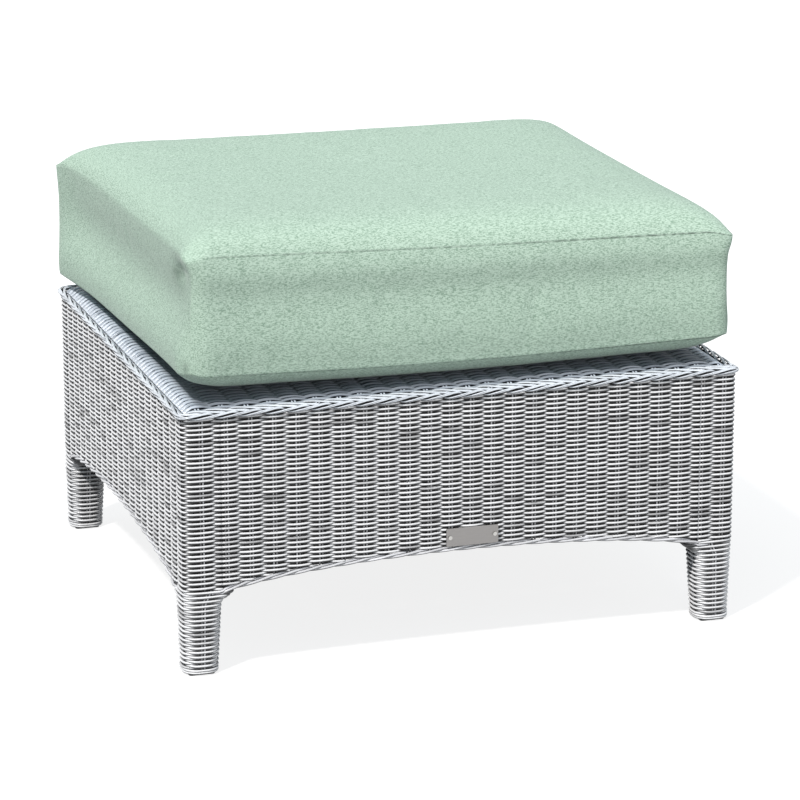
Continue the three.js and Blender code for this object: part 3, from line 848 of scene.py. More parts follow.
@dataclass(frozen=True)
class LegWrap:
    """How the rows go round a leg: sizes in millimetres, steps and shares."""

    outer_taper: float = 1.2
    inner_swell: float = 3.0
    inner_taper: float = 1.3
    foot_radius: float = 16.5
    radius_power: float = 0.8
    flare: float = 13.0
    flare_drop: float = 15.0
    flare_rise: float = 2.0
    shade: float = 0.85
    shade_lead: float = 0.6
    sag_share: float = 0.6
    steps: int = 57
    plain_rows: float = 2.6
    plain_inset: float = 1.9
    hidden_corner: float = 2.5
    hidden_run: tuple[float, float] = (1.5, 6.0)
    hidden_shade: float = 0.8
    stake_foot: float = 2.0


@dataclass(frozen=True)
class HemTwist:
    """The twisted strands of the edging under a wall, in millimetres, and how they run out at its ends."""

    height: float = 5.5
    overlap: float = 12.0
    strands: int = 3
    strand_radius: float = 1.5
    inset: float = 3.2
    reach_out: float = 2.7
    reach_up: float = 1.5
    end_drop: float = 0.12
    end_inset: float = 0.16
    end_thinning: float = 0.03
    points: int = 161
    tones: int = 24


@dataclass
class WickerBase:
    """The woven skin of the base: legs, walls, hems, braid and deck."""

    half_width: float = 310.0
    half_depth: float = 286.5
    corner_radius: float = 9.5
    leg_half: float = 21.5
    leg_gap: float = 1.0
    side_shade_lead: float = 0.6
    side_strand_share: float = 0.88
    arch_end: float = 88.5
    arch_rise: float = 22.4
    arch_exponent: float = 0.7
    wall_top: float = 280.6
    deck_top: float = 290.0
    stakes_across: int = 25
    stakes_back: int = 21
    front_shift: float = 7.5
    front_pitch: float = 23.35
    front_openings: tuple[float, float] = (0.0086, 0.0035)
    side_shift: float = -3.0
    side_pitch: float = 26.55
    stake_tones: tuple[float, float] = (0.4, 0.6)
    stake_tone_sway: float = 0.3
    gauge: WeaveGauge = WeaveGauge()
    wrap: LegWrap = LegWrap()
    hem: HemTwist = HemTwist()
    body: str = "base"

    def __post_init__(self) -> None:
        """Works out the places of the stakes and legs."""
        self.leg_x = self.half_width - self.leg_half
        self.leg_y = self.half_depth - self.leg_half
        across = tuple(float(self.front_stake(number)) for number in range(self.stakes_across))
        from_middle = (number - self.stakes_back // 2 for number in range(self.stakes_back))
        back = tuple(self.side_shift + self.side_pitch * number for number in from_middle)
        self.loop = StakeLoop(self.half_width, self.half_depth, self.corner_radius, across, back)
        self.rows = int((self.wall_top - self.gauge.strand_radius - self.leg_gap) / self.gauge.row_pitch) + 1
        self.unevenness = HandLaid(self.rows, self.loop.count, 11)

    def front_stake(self, number: int) -> float:
        """Returns the place of a front stake: the spacing opens out from the middle towards the legs.

        Args:
            number: Number of the stake, from the left.

        Returns:
            Its place to the right.
        """
        step = number - self.stakes_across // 2
        opening = self.front_openings[0] if step < 0 else self.front_openings[1]
        return self.front_shift + self.front_pitch * step + opening * step**3

    def half_wall(self, side: Side) -> float:
        """Returns half the length of a wall between its two legs."""
        return self.loop.face(side)[0] - 2 * self.leg_half - 0.3

    def arch(self, side: Side, along: np.ndarray | float) -> np.ndarray:
        """Returns the height of a wall's arched edge at places along it."""
        share = np.minimum(1.0, np.abs(along) / self.half_wall(side))
        return self.arch_end + self.arch_rise * np.power(1.0 - share * share, self.arch_exponent)

    def arch_reach(self, side: Side, height: float) -> float:
        """Returns how far from the middle of a wall its rows start at a height, 0 above the arch.

        Args:
            side: The side of the wall.
            height: The height.

        Returns:
            The distance.
        """
        rise = (height - self.hem.height - self.arch_end) / self.arch_rise
        if rise >= 1.0:
            return 0.0
        inner = max(rise, 0.0) ** (1.0 / self.arch_exponent)
        return self.half_wall(side) * math.sqrt(1.0 - inner)

    def row_height(self, row: int) -> float:
        """Returns the height of a row's middle line, row 0 being the highest."""
        return self.wall_top - self.gauge.strand_radius - row * self.gauge.row_pitch

    def lay_row(self, bundle: StrandBundle, row: int, start: float, stop: float) -> None:
        """Lays part of a row round the outside of the base.

        Args:
            bundle: Takes the strand.
            row: Number of the row from the top.
            start: Stake count where it starts.
            stop: Stake count where it stops.
        """
        steps = max(2, int(math.ceil((stop - start) * self.gauge.steps)) + 1)
        counts = np.linspace(start, stop, steps)
        uneven = self.unevenness
        swing = self.gauge.swing * uneven.read(uneven.swing, row, counts)
        out = -self.gauge.middle + swing * weave_wave(counts, row)
        x, y = self.loop.place(counts, out)
        height = self.row_height(row) + uneven.read(uneven.sag, row, counts)
        tone = uneven.read(uneven.tone, row, counts)
        on_side = self.half_depth - np.abs(y) > self.half_width - np.abs(x)
        # Painted shade where the row passes behind the stakes; on the side walls it starts sooner.
        shade = np.maximum(self.shade(out), np.where(on_side, self.shade(out - self.side_shade_lead), 0.0))
        thinned = np.where(on_side & (out > -self.gauge.middle), self.side_strand_share, 1.0)
        bundle.lay(np.column_stack([x, y, height]), self.thickness(out) * thinned, tone, shade)

    def thickness(self, out: np.ndarray) -> np.ndarray:
        """Returns a strand's radius from its place outside the outline, pressed wide behind the stakes.

        Args:
            out: How far outside the outline.

        Returns:
            The radius.
        """
        gauge = self.gauge
        behind = smooth_share(-out, gauge.middle - gauge.behind_from, gauge.middle + gauge.press_run)
        return gauge.strand_radius + (gauge.back_radius - gauge.strand_radius) * behind

    def shade(self, out: np.ndarray) -> np.ndarray:
        """Returns how deep in shade a strand lies, from its place outside the outline."""
        gauge = self.gauge
        return smooth_share(-out, gauge.middle - gauge.behind_from, gauge.middle + gauge.shade_run)

    def stand_stake(
        self,
        bundle: StrandBundle,
        loop_at: Callable[[float], StakeLoop],
        count: float,
        low: float,
        high: float,
    ) -> None:
        """Stands one pair of stakes.

        Args:
            bundle: Takes the stakes.
            loop_at: Gives the outline at a height.
            count: Stake count of the pair.
            low: Its foot.
            high: Its top.
        """
        heights = np.linspace(low, high, max(3, int((high - low) / self.gauge.stake_step)))
        top_loop = loop_at(float(high))
        axis = 1 if self._faces_x(top_loop, count) else 0
        tone = self.stake_tones[0 if top_loop.count > LEG_STAKES else 1]
        for offset in (-self.gauge.stake_spread, self.gauge.stake_spread):
            places = []
            for height in heights:
                x, y = loop_at(float(height)).place(np.array([count]), -self.gauge.middle)
                places.append((x[0], y[0], height))
            points = np.array(places)
            points[:, axis] += offset
            sway = self.stake_tone_sway * math.sin(7.0 * count + offset)
            bundle.lay(points, self.gauge.stake_radius, tone + sway)

    @staticmethod
    def _faces_x(loop: StakeLoop, count: float) -> bool:
        """Returns whether a stake stands on the left or right side of its outline.

        Args:
            loop: The outline.
            count: The stake count.

        Returns:
            Whether it does.
        """
        whole = int(round(count)) % loop.count
        across, back = len(loop.stakes_x), len(loop.stakes_y)
        return across <= whole < across + back or whole >= 2 * across + back

    def build_wall(self, side: Side) -> bpy.types.Object:
        """Weaves one wall between its two legs.

        Args:
            side: Which wall.

        Returns:
            The piece.
        """
        bundle = StrandBundle()
        reach = self.half_wall(side)
        for row in range(self.rows):
            height = self.row_height(row)
            inner = self.arch_reach(side, height)
            if inner >= reach - 1.0:
                break
            ends = [(-reach, reach)] if inner == 0.0 else [(-reach, -inner), (inner, reach)]
            for low, high in ends:
                self.lay_row(bundle, row, self.loop.count_at(side, low), self.loop.count_at(side, high))
        first = self.loop.first_stake(side)
        for number, along in enumerate(self.loop.stakes_of(side)):
            if abs(along) < reach:
                foot = float(self.arch(side, along)) + 3.0
                self.stand_stake(bundle, lambda _: self.loop, first + number, foot, self.wall_top)
        return bundle.to_piece(f"wicker_wall_{side.name.lower()}")

    def leg_loop(self, centre: tuple[float, float], height: float) -> StakeLoop:
        """Returns the outline of a leg at a height.

        Args:
            centre: Middle of the leg in plan.
            height: The height.

        Returns:
            The outline.
        """
        wrap = self.wrap
        down = min(1.0, max(0.0, (self.arch_end - height) / (self.arch_end - self.leg_gap)))
        outer = wrap.outer_taper * down
        start = self.arch_end - wrap.flare_drop
        flare = wrap.flare * smooth_share(height, start, self.arch_end + wrap.flare_rise) ** 2
        inner = wrap.inner_swell * (1.0 - down) - wrap.inner_taper * down + float(flare)
        half = self.leg_half + (inner - outer) / 2.0
        shift = (inner + outer) / 2.0
        middle = tuple(place - math.copysign(shift, place) for place in centre)
        radius = self.corner_radius + (wrap.foot_radius - self.corner_radius) * down**wrap.radius_power
        return StakeLoop(half, half, radius, (0.0,), (0.0,), middle)

    def build_leg(self, side: Side, name: str) -> bpy.types.Object:
        """Weaves one leg and the corner of the base above it.

        Args:
            side: The wall whose right end, seen from outside, the leg carries.
            name: Place of the leg.

        Returns:
            The piece.
        """
        bundle = StrandBundle()
        next_side = Side((side.value + 1) % 4)
        start = self.loop.count_at(side, self.half_wall(side))
        stop = self.loop.count_at(next_side, -self.half_wall(next_side))
        if stop < start:
            stop += self.loop.count
        last_stake = self.loop.first_stake(side) + len(self.loop.stakes_of(side)) - 1
        x, y = self.loop.place(np.array([last_stake]), -self.leg_half)
        centre = (math.copysign(self.leg_x, x[0]), math.copysign(self.leg_y, y[0]))
        limit = self.arch_end + self.hem.height - 1.0
        for row in range(self.rows):
            height = self.row_height(row)
            if height > limit:
                self.lay_row(bundle, row, start, stop)
            elif height >= self.leg_gap + self.gauge.strand_radius:
                self._lay_leg_row(bundle, row, centre, side.value + self.wrap.hidden_corner)
        for flank in (side, next_side):
            first = self.loop.first_stake(flank)
            for number, along in enumerate(self.loop.stakes_of(flank)):
                near = along if flank is side else -along
                if near >= self.half_wall(flank):
                    self.stand_stake(bundle, lambda _: self.loop, first + number, limit, self.wall_top)
        foot = self.wrap.stake_foot
        for count in range(LEG_STAKES):
            self.stand_stake(bundle, lambda level: self.leg_loop(centre, level), count, foot, limit)
        return bundle.to_piece(f"wicker_leg_{name}")

    def _lay_leg_row(
        self, bundle: StrandBundle, row: int, centre: tuple[float, float], start: float
    ) -> None:
        """Lays one closed row round a leg, whose ends meet at a stake count on its hidden inner corner.

        Args:
            bundle: Where the strand is kept.
            row: Number of the row, 0 being the highest.
            centre: Middle of the leg in plan.
            start: The stake count where the ends meet.
        """
        wrap = self.wrap
        height = self.row_height(row)
        counts = start + np.linspace(0.0, LEG_STAKES, wrap.steps)
        uneven = self.unevenness
        shifted = counts + 7.0 * centre[0] / self.leg_x + 30.0
        swing = self.gauge.swing * uneven.read(uneven.swing, row, shifted)
        out = -self.gauge.middle + swing * np.cos(math.pi * (counts + row))
        if height < self.leg_gap + wrap.plain_rows * self.gauge.row_pitch:
            out = np.full_like(counts, -wrap.plain_inset)
        x, y = self.leg_loop(centre, height).place(np.mod(counts, LEG_STAKES), out)
        inwards = np.maximum(abs(centre[0]) - np.abs(x), abs(centre[1]) - np.abs(y)) - self.leg_half
        tucked = smooth_share(inwards, *wrap.hidden_run)
        points = np.column_stack([x, y, height + wrap.sag_share * uneven.read(uneven.sag, row, shifted)])
        points[-1] = points[0]
        # Painted shade where the row passes behind the stakes, and on the leg's inner faces, which are
        # tucked under the arch.
        shade = np.maximum(wrap.shade * self.shade(out + wrap.shade_lead), wrap.hidden_shade * tucked)
        bundle.lay(points, self.thickness(out), uneven.read(uneven.tone, row, shifted), shade)

    def build_hem(self, side: Side) -> bpy.types.Object:
        """Twists the strands of the edging under a wall.

        Args:
            side: Which wall.

        Returns:
            The piece.
        """
        bundle = StrandBundle()
        hem = self.hem
        rng = np.random.default_rng(40 + side.value)
        reach = self.half_wall(side)
        first, second = self.loop.stakes_of(side)[:2]
        pitch = hem.strands * (second - first)
        along = (reach + hem.overlap) * np.sin(np.linspace(-1.0, 1.0, hem.points) * math.pi / 2.0)
        beyond = np.maximum(np.abs(along) - reach, 0.0)
        rise = self.arch(side, along) - hem.end_drop * beyond
        gone = np.concatenate([[0.0], np.cumsum(np.hypot(np.diff(along), np.diff(rise)))])
        depth = self.loop.face(side)[1]
        angle = side.value * math.pi / 2.0
        for strand in range(hem.strands):
            turn = 2.0 * math.pi * (gone / pitch + strand / hem.strands)
            away = depth - hem.inset + hem.reach_out * np.cos(turn) - hem.end_inset * beyond
            height = rise + hem.height / 2.0 + hem.reach_up * np.sin(turn)
            x = along * math.cos(angle) + away * math.sin(angle)
            y = along * math.sin(angle) - away * math.cos(angle)
            tones = rng.uniform(0.6, 1.0, hem.tones)
            tone = np.interp(gone, np.linspace(0.0, gone[-1], hem.tones), tones)
            bundle.lay(np.column_stack([x, y, height]), hem.strand_radius - hem.end_thinning * beyond, tone)
        return bundle.to_piece(f"wicker_hem_{side.name.lower()}")


@dataclass
class RimBraid:
    """The braid that covers the joint of walls and deck, made of the bent-over pairs of stakes.

    Its section is drawn from the lower outer edge over the top to the gutter beside the deck, as places
    outside the wall's face and heights. The front and the rear have one section, the two sides another.
    """

    base: WickerBase
    strand_radius: float = 0.86
    pair_spread: float = 0.78
    length: float = 26.0
    steps: int = 17
    upper_start: float = -0.1
    upper_reach: float = 2.35
    upper_path: tuple[float, ...] = (0.97, 0.80, 0.60, 0.47, 0.42)
    lower_start: float = 0.35
    lower_reach: float = 2.3
    lower_path: tuple[float, ...] = (0.02, 0.12, 0.27, 0.40, 0.47)
    start_dip: float = 4.4
    end_dip: float = 3.4
    pale_chance: float = 0.9
    front_section: tuple[tuple[float, float], ...] = (
        (-1.4, 278.6), (0.9, 280.2), (2.2, 282.3), (2.3, 284.6), (1.2, 286.6), (-1.0, 287.9),
        (-3.9, 288.6), (-6.9, 289.0), (-9.0, 288.7), (-10.5, 287.2), (-11.3, 284.8),
    )
    side_section: tuple[tuple[float, float], ...] = (
        (-1.4, 278.8), (0.9, 280.2), (2.2, 281.8), (2.3, 283.4), (1.4, 284.9), (-0.4, 285.9),
        (-2.6, 286.2), (-4.6, 285.6), (-6.0, 284.4), (-6.9, 282.8), (-7.4, 281.0),
    )

    @staticmethod
    def _follow(section: np.ndarray, share: np.ndarray, lift: np.ndarray) -> np.ndarray:
        """Returns places along a section by share of its length, lifted off it at right angles.

        Args:
            section: Points of the section in order.
            share: Share of its length.
            lift: How far off it.

        Returns:
            The places.
        """
        gone = np.concatenate([[0.0], np.cumsum(np.hypot(*np.diff(section, axis=0).T))])
        gone /= gone[-1]
        step = 0.03
        here, after, before = (
            np.column_stack([np.interp(share + shift, gone, section[:, axis]) for axis in (0, 1)])
            for shift in (0.0, step, -step)
        )
        along = after - before
        along /= np.maximum(np.linalg.norm(along, axis=1, keepdims=True), 1e-6)
        return here + np.column_stack([along[:, 1], -along[:, 0]]) * lift[:, None]

    def surface(self, counts: np.ndarray, share: np.ndarray, lift: np.ndarray) -> np.ndarray:
        """Finds places on the rounded face of the braid.

        Args:
            counts: Stake counts round the rim.
            share: How far across the braid, from its lower outer edge to the gutter.
            lift: Height above that face.

        Returns:
            One row of x, y and z for each place.
        """
        loop = self.base.loop
        counts = np.mod(counts, loop.count)
        across, back = len(loop.stakes_x), len(loop.stakes_y)
        half = across + back
        local = np.mod(counts, half)
        on_side = smooth_share(local, across - 0.9, across + 0.2)
        on_side *= 1.0 - smooth_share(local, half - 1.0, half - 0.1)
        sections = (self.front_section, self.side_section)
        front, side = (self._follow(np.array(section), share, lift) for section in sections)
        mixed = front * (1.0 - on_side[:, None]) + side * on_side[:, None]
        x, y = loop.place(counts, mixed[:, 0])
        return np.column_stack([x, y, mixed[:, 1]])

    def build(self) -> list[bpy.types.Object]:
        """Braids the rim in four pieces.

        Returns:
            One piece for each side.
        """
        loop = self.base.loop
        rng = np.random.default_rng(5)
        pieces = []
        for side in Side:
            bundle = StrandBundle()
            first = loop.first_stake(side)
            for stake in range(first, first + len(loop.stakes_of(side))):
                self._lay_pair(bundle, rng, stake + self.upper_start, self.upper_path, self.upper_reach)
                self._lay_pair(bundle, rng, stake + self.lower_start, self.lower_path, self.lower_reach)
            pieces.append(bundle.to_piece(f"rim_braid_{side.name.lower()}"))
        return pieces

    def _lay_pair(
        self,
        bundle: StrandBundle,
        rng: np.random.Generator,
        start: float,
        path: tuple[float, ...],
        reach: float,
    ) -> None:
        """Lays a pair of strands side by side, from where they rise to where they dive under the other row.

        Args:
            bundle: Takes the strands.
            rng: Source of their unevenness.
            start: Stake count where they rise.
            path: How far across the braid they lie, at even steps from start to end.
            reach: How many stakes they pass.
        """
        steps = np.linspace(0.0, 1.0, self.steps)
        start += rng.normal(0.0, 0.05)
        counts = start + reach * steps
        share = np.interp(steps, np.linspace(0.0, 1.0, len(path)), path)
        dip = self.start_dip * (1.0 - smooth_share(steps, 0.0, 0.16))
        dip += self.end_dip * smooth_share(steps, 0.82, 1.0)
        # Painted shade where the pair rises from under the other row and where it dives under it again.
        recess = np.maximum(1.0 - smooth_share(steps, 0.05, 0.17), smooth_share(steps, 0.86, 0.96))
        tone = rng.uniform(0.8, 0.97) if rng.random() < self.pale_chance else rng.uniform(0.4, 0.8)
        for offset in (-self.pair_spread, self.pair_spread):
            lift = 0.1 - dip - self.strand_radius + rng.normal(0.0, 0.08)
            points = self.surface(counts, share + offset / self.length, lift)
            bundle.lay(points, self.strand_radius, tone, recess)


@dataclass
class WovenDeck:
    """The deck: rows of two strands side by side, over stakes that run from front to rear."""

    base: WickerBase
    row_pitch: float = 5.31
    pair_spread: float = 1.29
    swing: float = 1.9
    reach_x: float = 304.5
    first_inset: float = 15.6
    gutter_sway: float = 1.5
    # covered_shade is the strength of the cushion's painted shadow on the deck.
    covered_shade: float = 0.62
    # painted_deck_dimming darkens the tone of every deck strand: painted shade on the deck's upward faces.
    painted_deck_dimming: float = 0.9
    part_width: float = 0.9
    part_run: float = 4.2
    wave_power: float = 0.8
    side_drop: float = 7.5
    end_drop: float = 1.6
    end_run: tuple[float, float] = (284.0, 299.0)
    calm_run: tuple[float, float] = (288.0, 299.0)
    covered_x: tuple[float, float, float] = (297.0, 6.0, 16.0)
    covered_y: tuple[float, float, float] = (283.0, 0.0, 22.0)
    stake_tone: float = 0.97
    stake_dive: float = 3.0
    stake_points: int = 26
    steps: int = 6

    def top(self, x: np.ndarray, y: np.ndarray) -> np.ndarray:
        """Returns the height of the deck's crests at places in plan.

        Args:
            x: Places to the right.
            y: Places to the rear.

        Returns:
            The heights.
        """
        inset_x = self.base.half_width - np.abs(x)
        inset_y = self.base.half_depth - np.abs(y)
        drop = self.side_drop * (1.0 - smooth_share(inset_x, 3.0, 19.0))
        drop = np.maximum(drop, self.end_drop * (1.0 - smooth_share(inset_y, 11.0, 22.0)))
        return self.base.deck_top - drop

    def build(self) -> list[bpy.types.Object]:
        """Weaves the deck in three strips, front, middle and rear.

        Returns:
            The pieces.
        """
        reach_y = self.base.half_depth - self.first_inset
        rows = int(round(2 * reach_y / self.row_pitch))
        stakes = np.array(self.base.loop.stakes_x)
        uneven = HandLaid(2 * rows + 2, len(stakes) + 4, 23)
        ends = (stakes[1] - stakes[0], stakes[-1] - stakes[-2])
        posts = np.concatenate([[stakes[0] - ends[0]], stakes, [stakes[-1] + ends[1]]])
        x = np.linspace(-self.reach_x, self.reach_x, (len(stakes) + 1) * self.steps + 1)
        counts = np.interp(x, posts, np.arange(-1, len(stakes) + 1))
        names = ("front", "middle", "rear")
        bundles = [StrandBundle() for _ in names]
        for row in range(rows + 1):
            y_row = -reach_y + 2 * reach_y * row / rows
            strip = min(2, int(3 * row / (rows + 1)))
            for strand in (0, 1):
                self._lay_strand(bundles[strip], row, strand, row in (0, rows), x, counts, y_row, uneven)
        for strip, bundle in enumerate(bundles):
            low = -reach_y - 6.0 if strip == 0 else -reach_y + strip * 2 * reach_y / 3.0
            high = reach_y + 6.0 if strip == 2 else -reach_y + (strip + 1) * 2 * reach_y / 3.0
            self._lay_stakes(bundle, stakes, low, high)
        return [bundle.to_piece(f"wicker_deck_{name}") for bundle, name in zip(bundles, names)]

    def covered(self, x: np.ndarray, y: float) -> np.ndarray:
        """Returns how far the deck takes the painted shadow of the cushion.

        Args:
            x: Places to the right.
            y: Places to the rear.

        Returns:
            The share, 1 well beneath the cushion.
        """
        middle_x, low_x, high_x = self.covered_x
        middle_y, low_y, high_y = self.covered_y
        across = smooth_share(middle_x - np.abs(x), low_x, high_x)
        return across * smooth_share(middle_y - np.abs(y), low_y, high_y)

    def _lay_strand(
        self,
        bundle: StrandBundle,
        row: int,
        strand: int,
        outermost: bool,
        x: np.ndarray,
        counts: np.ndarray,
        y_row: float,
        uneven: HandLaid,
    ) -> None:
        """Lays one of a row's two strands. The outermost rows sway out into the gutter beside the braid.

        Args:
            bundle: Takes the strand.
            row: Number of the row from the front.
            strand: 0 for the strand in front, 1 for the one behind it.
            outermost: Whether the row is the first or the last.
            x: Places along the row.
            counts: Stake counts of those places.
            y_row: Place of the row.
            uneven: Its unevenness.
        """
        gauge = self.base.gauge
        side_stakes = np.array(self.base.loop.stakes_y)
        nearest = side_stakes[np.argmin(np.abs(side_stakes - y_row))]
        parting = math.exp(-(((y_row - nearest) / self.part_run) ** 2))
        part = math.copysign(self.part_width, y_row - nearest) * parting
        end = smooth_share(np.abs(x), *self.end_run)
        line = 2 * row + strand
        turn = np.cos(math.pi * (counts + row + 1))
        wave = np.sign(turn) * np.abs(turn) ** self.wave_power * uneven.read(uneven.swing, line, counts + 2)
        offset = self.pair_spread if strand else -self.pair_spread
        y = y_row + offset + part * end + 0.3 * uneven.read(uneven.sag, line, counts + 2)
        calm = 1.0 - 0.55 * smooth_share(np.abs(x), *self.calm_run)
        sink = gauge.strand_radius + self.swing * (1.0 - wave * calm)
        # Painted shade where the strand dips under the stakes, weaker near the ends of the rows.
        recess = smooth_share(-wave, 0.0, 0.5) * (0.35 + 0.65 * (calm > 0.9))
        if outermost:
            y = y + math.copysign(self.gutter_sway, y_row) * (1.0 - wave)
            sink = gauge.strand_radius + 1.1 * (1.0 - wave)
            recess = 0.4 * recess
        z = self.top(x, np.full_like(x, y_row)) - sink
        # Painted shadow of the cushion.
        recess = np.maximum(recess, self.covered_shade * self.covered(x, y_row))
        # Painted shade: every deck strand's tone is dimmed.
        tone = self.painted_deck_dimming * uneven.read(uneven.tone, line, counts + 2)
        radius = gauge.strand_radius + 0.3 * smooth_share(-wave, -0.2, 0.6) + 0.1 * end
        bundle.lay(np.column_stack([x, y, z]), radius, tone, recess)

    def _lay_stakes(self, bundle: StrandBundle, stakes: np.ndarray, low: float, high: float) -> None:
        """Lays the pairs of stakes of a strip, which dive into the braid at the front and the rear.

        Args:
            bundle: Where the stakes are kept.
            stakes: Places of the stakes to the right.
            low: Their front end.
            high: Their rear end.
        """
        gauge = self.base.gauge
        y = np.linspace(low, high, self.stake_points)
        edge = self.base.half_depth
        dive = self.stake_dive * smooth_share(np.abs(y), edge - 13.5, edge - 8.0)
        for stake in stakes:
            for offset in (-gauge.stake_spread, gauge.stake_spread):
                x = np.full_like(y, stake + offset)
                z = self.top(x, y) - gauge.strand_radius - self.swing - dive
                bundle.lay(np.column_stack([x, y, z]), gauge.stake_radius, self.stake_tone)


# Cushion


@dataclass(frozen=True)
class Spot:
    """A soft spot on the boxing: its place from front to rear, its share of the height, widths and depth."""

    along: float
    height: float
    width: float
    tall: float
    depth: float

    def weight(self, along: np.ndarray, height: np.ndarray) -> np.ndarray:
        """Returns the depth at places along the boxing and up it."""
        far = ((along - self.along) / self.width) ** 2 + ((height - self.height) / self.tall) ** 2
        return self.depth * np.exp(-far)


@dataclass
class BoxCushion:
    """The loose cushion: two crowned panels and a boxing band, filled and slightly slumped.

    Its pieces start as a cube from -1 to 1. Places on the cube are u to the right, v to the rear and w up,
    and share is the height on the boxing from 0 at the lower seam to 1 at the top seam.
    """

    half_width: float = 303.5
    half_depth: float = 276.5
    half_boxing: float = 64.0
    draw_x: float = 9.0
    draw_y: float = 12.0
    draw_exponent: float = 4.0
    lower_seam: float = 306.0
    top_seam: float = 433.4
    crown: float = 33.4
    crown_exponent: float = 8.9
    crown_edge: float = 0.43
    fold_sharpness: float = 0.2
    belly: float = 20.0
    belly_exponent: float = 17.0
    rest: float = 290.6
    seam_crease: float = 0.7
    corner_radii: tuple[tuple[float, float], ...] = ((0.0, 36.0), (0.35, 34.0), (0.8, 30.0), (1.0, 24.0))
    front_swells: tuple[tuple[float, float, float], ...] = ((4.2, 0.85, 0.14), (4.5, 0.25, 0.30))
    side_swells: tuple[tuple[float, float, float], ...] = ((-9.5, 0.56, 0.27), (6.0, 0.14, 0.20))
    tuck_depths: tuple[float, float] = (8.0, 1.0)
    tuck_height: float = 0.84
    dent: Spot = Spot(-0.79, 0.80, 0.06, 0.07, 7.0)
    dent_reach: float = 0.06
    # The left folds and the right fold set where and how deeply painted shade darkens the cloth's colour.
    left_folds: tuple[Spot, ...] = (
        Spot(-0.745, 0.775, 0.06, 0.06, 0.62),
        Spot(-0.77, 0.71, 0.13, 0.12, 0.28),
        Spot(-0.96, 0.06, 0.02, 0.05, 0.55),
    )
    left_fold_reach: float = 0.03
    right_fold: float = 0.22
    right_fold_reach: float = 0.035
    ear_droop: float = 5.0
    ear_reach: float = 9.0
    right_ear: float = 3.4
    wrinkle_share: float = 0.3
    wrinkle_cap: float = 0.7
    puff_frames: int = 20
    foam_levels: tuple[float, float] = (333.0, 407.0)
    foam_inset: float = 19.0
    wadding_inset: float = 9.0
    wadding_levels: tuple[float, float] = (328.0, 412.0)
    plain_corner_share: float = 0.45
    top_lifts: tuple[float, float, float, float] = (15.0, 1.5, 4.0, 1.0)
    lower_lifts: tuple[float, float, float, float] = (16.0, 14.0, -0.7, 7.0)
    zip_reach: tuple[float, float] = (228.0, 240.0)
    zip_level: float = 370.0
    zip_run: tuple[float, float] = (14.0, 22.0)
    zip_face: float = 270.3
    cover_cells: Cells = (102, 94, 24)
    foam_cells: Cells = (24, 22, 4)
    wadding_cells: Cells = (30, 28, 4)
    body: str = "cushion"

    @staticmethod
    def corner_lift(u: np.ndarray, v: np.ndarray, lifts: tuple[float, float, float, float]) -> np.ndarray:
        """Returns how far a seam is lifted.

        Args:
            u: Places to the right.
            v: Places to the rear.
            lifts: How far it is lifted at the front left, front right, rear left and rear right corner.

        Returns:
            The lift at each place.
        """
        left, front = (1.0 - u) / 2.0, (1.0 - v) / 2.0
        shares = (left * front, (1.0 - left) * front, left * (1.0 - front), (1.0 - left) * (1.0 - front))
        return sum(share * share * lift for share, lift in zip(shares, lifts))

    def outline_radius(self, share: np.ndarray, front_left: np.ndarray) -> np.ndarray:
        """Returns the corner radius in plan: tightest at the top seam, and full at the front left corner.

        Args:
            share: Share of the height of the boxing.
            front_left: Share of the way to the front left corner.

        Returns:
            The radius.
        """
        heights, radii = zip(*self.corner_radii)
        fullness = self.plain_corner_share + (1.0 - self.plain_corner_share) * front_left
        return np.interp(share, heights, radii) * fullness

    @staticmethod
    def swells(share: np.ndarray, parts: tuple[tuple[float, float, float], ...]) -> np.ndarray:
        """Returns how far a boxing swells out at a share of its height, as the sum of soft waves."""
        return sum(reach * np.exp(-(((share - middle) / width) ** 2)) for reach, middle, width in parts)

    @staticmethod
    def near_corner(along: np.ndarray, back: np.ndarray, power: float) -> np.ndarray:
        """Returns a share that is 1 at the corner where both places are 1, and falls off quickly from it."""
        across, deep = (np.clip((1.0 + place) / 2.0, 0.0, 1.0) ** power for place in (along, back))
        return across * deep

    def corner_tuck(
        self, u: np.ndarray, v: np.ndarray, share: np.ndarray, front_left: np.ndarray
    ) -> np.ndarray:
        """Returns how far the boxing is drawn in under the ears of the top seam, in millimetres.

        Args:
            u: Places to the right.
            v: Places to the rear.
            share: Share of the height of the boxing.
            front_left: Share of the way to the front left corner.

        Returns:
            How far it is drawn in.
        """
        near = np.exp(-(((1.0 - np.abs(u)) / 0.07) ** 2) - ((0.88 - np.abs(v)) / 0.12) ** 2)
        width = np.where(share > self.tuck_height, 0.11, 0.26)
        under = np.exp(-(((share - self.tuck_height) / width) ** 2))
        at_left, elsewhere = self.tuck_depths
        soft = elsewhere + (at_left - elsewhere) * front_left
        on_side = np.exp(-(((1.0 - np.abs(u)) / self.dent_reach) ** 2))
        return soft * near * under + front_left**4 * on_side * self.dent.weight(v, share)

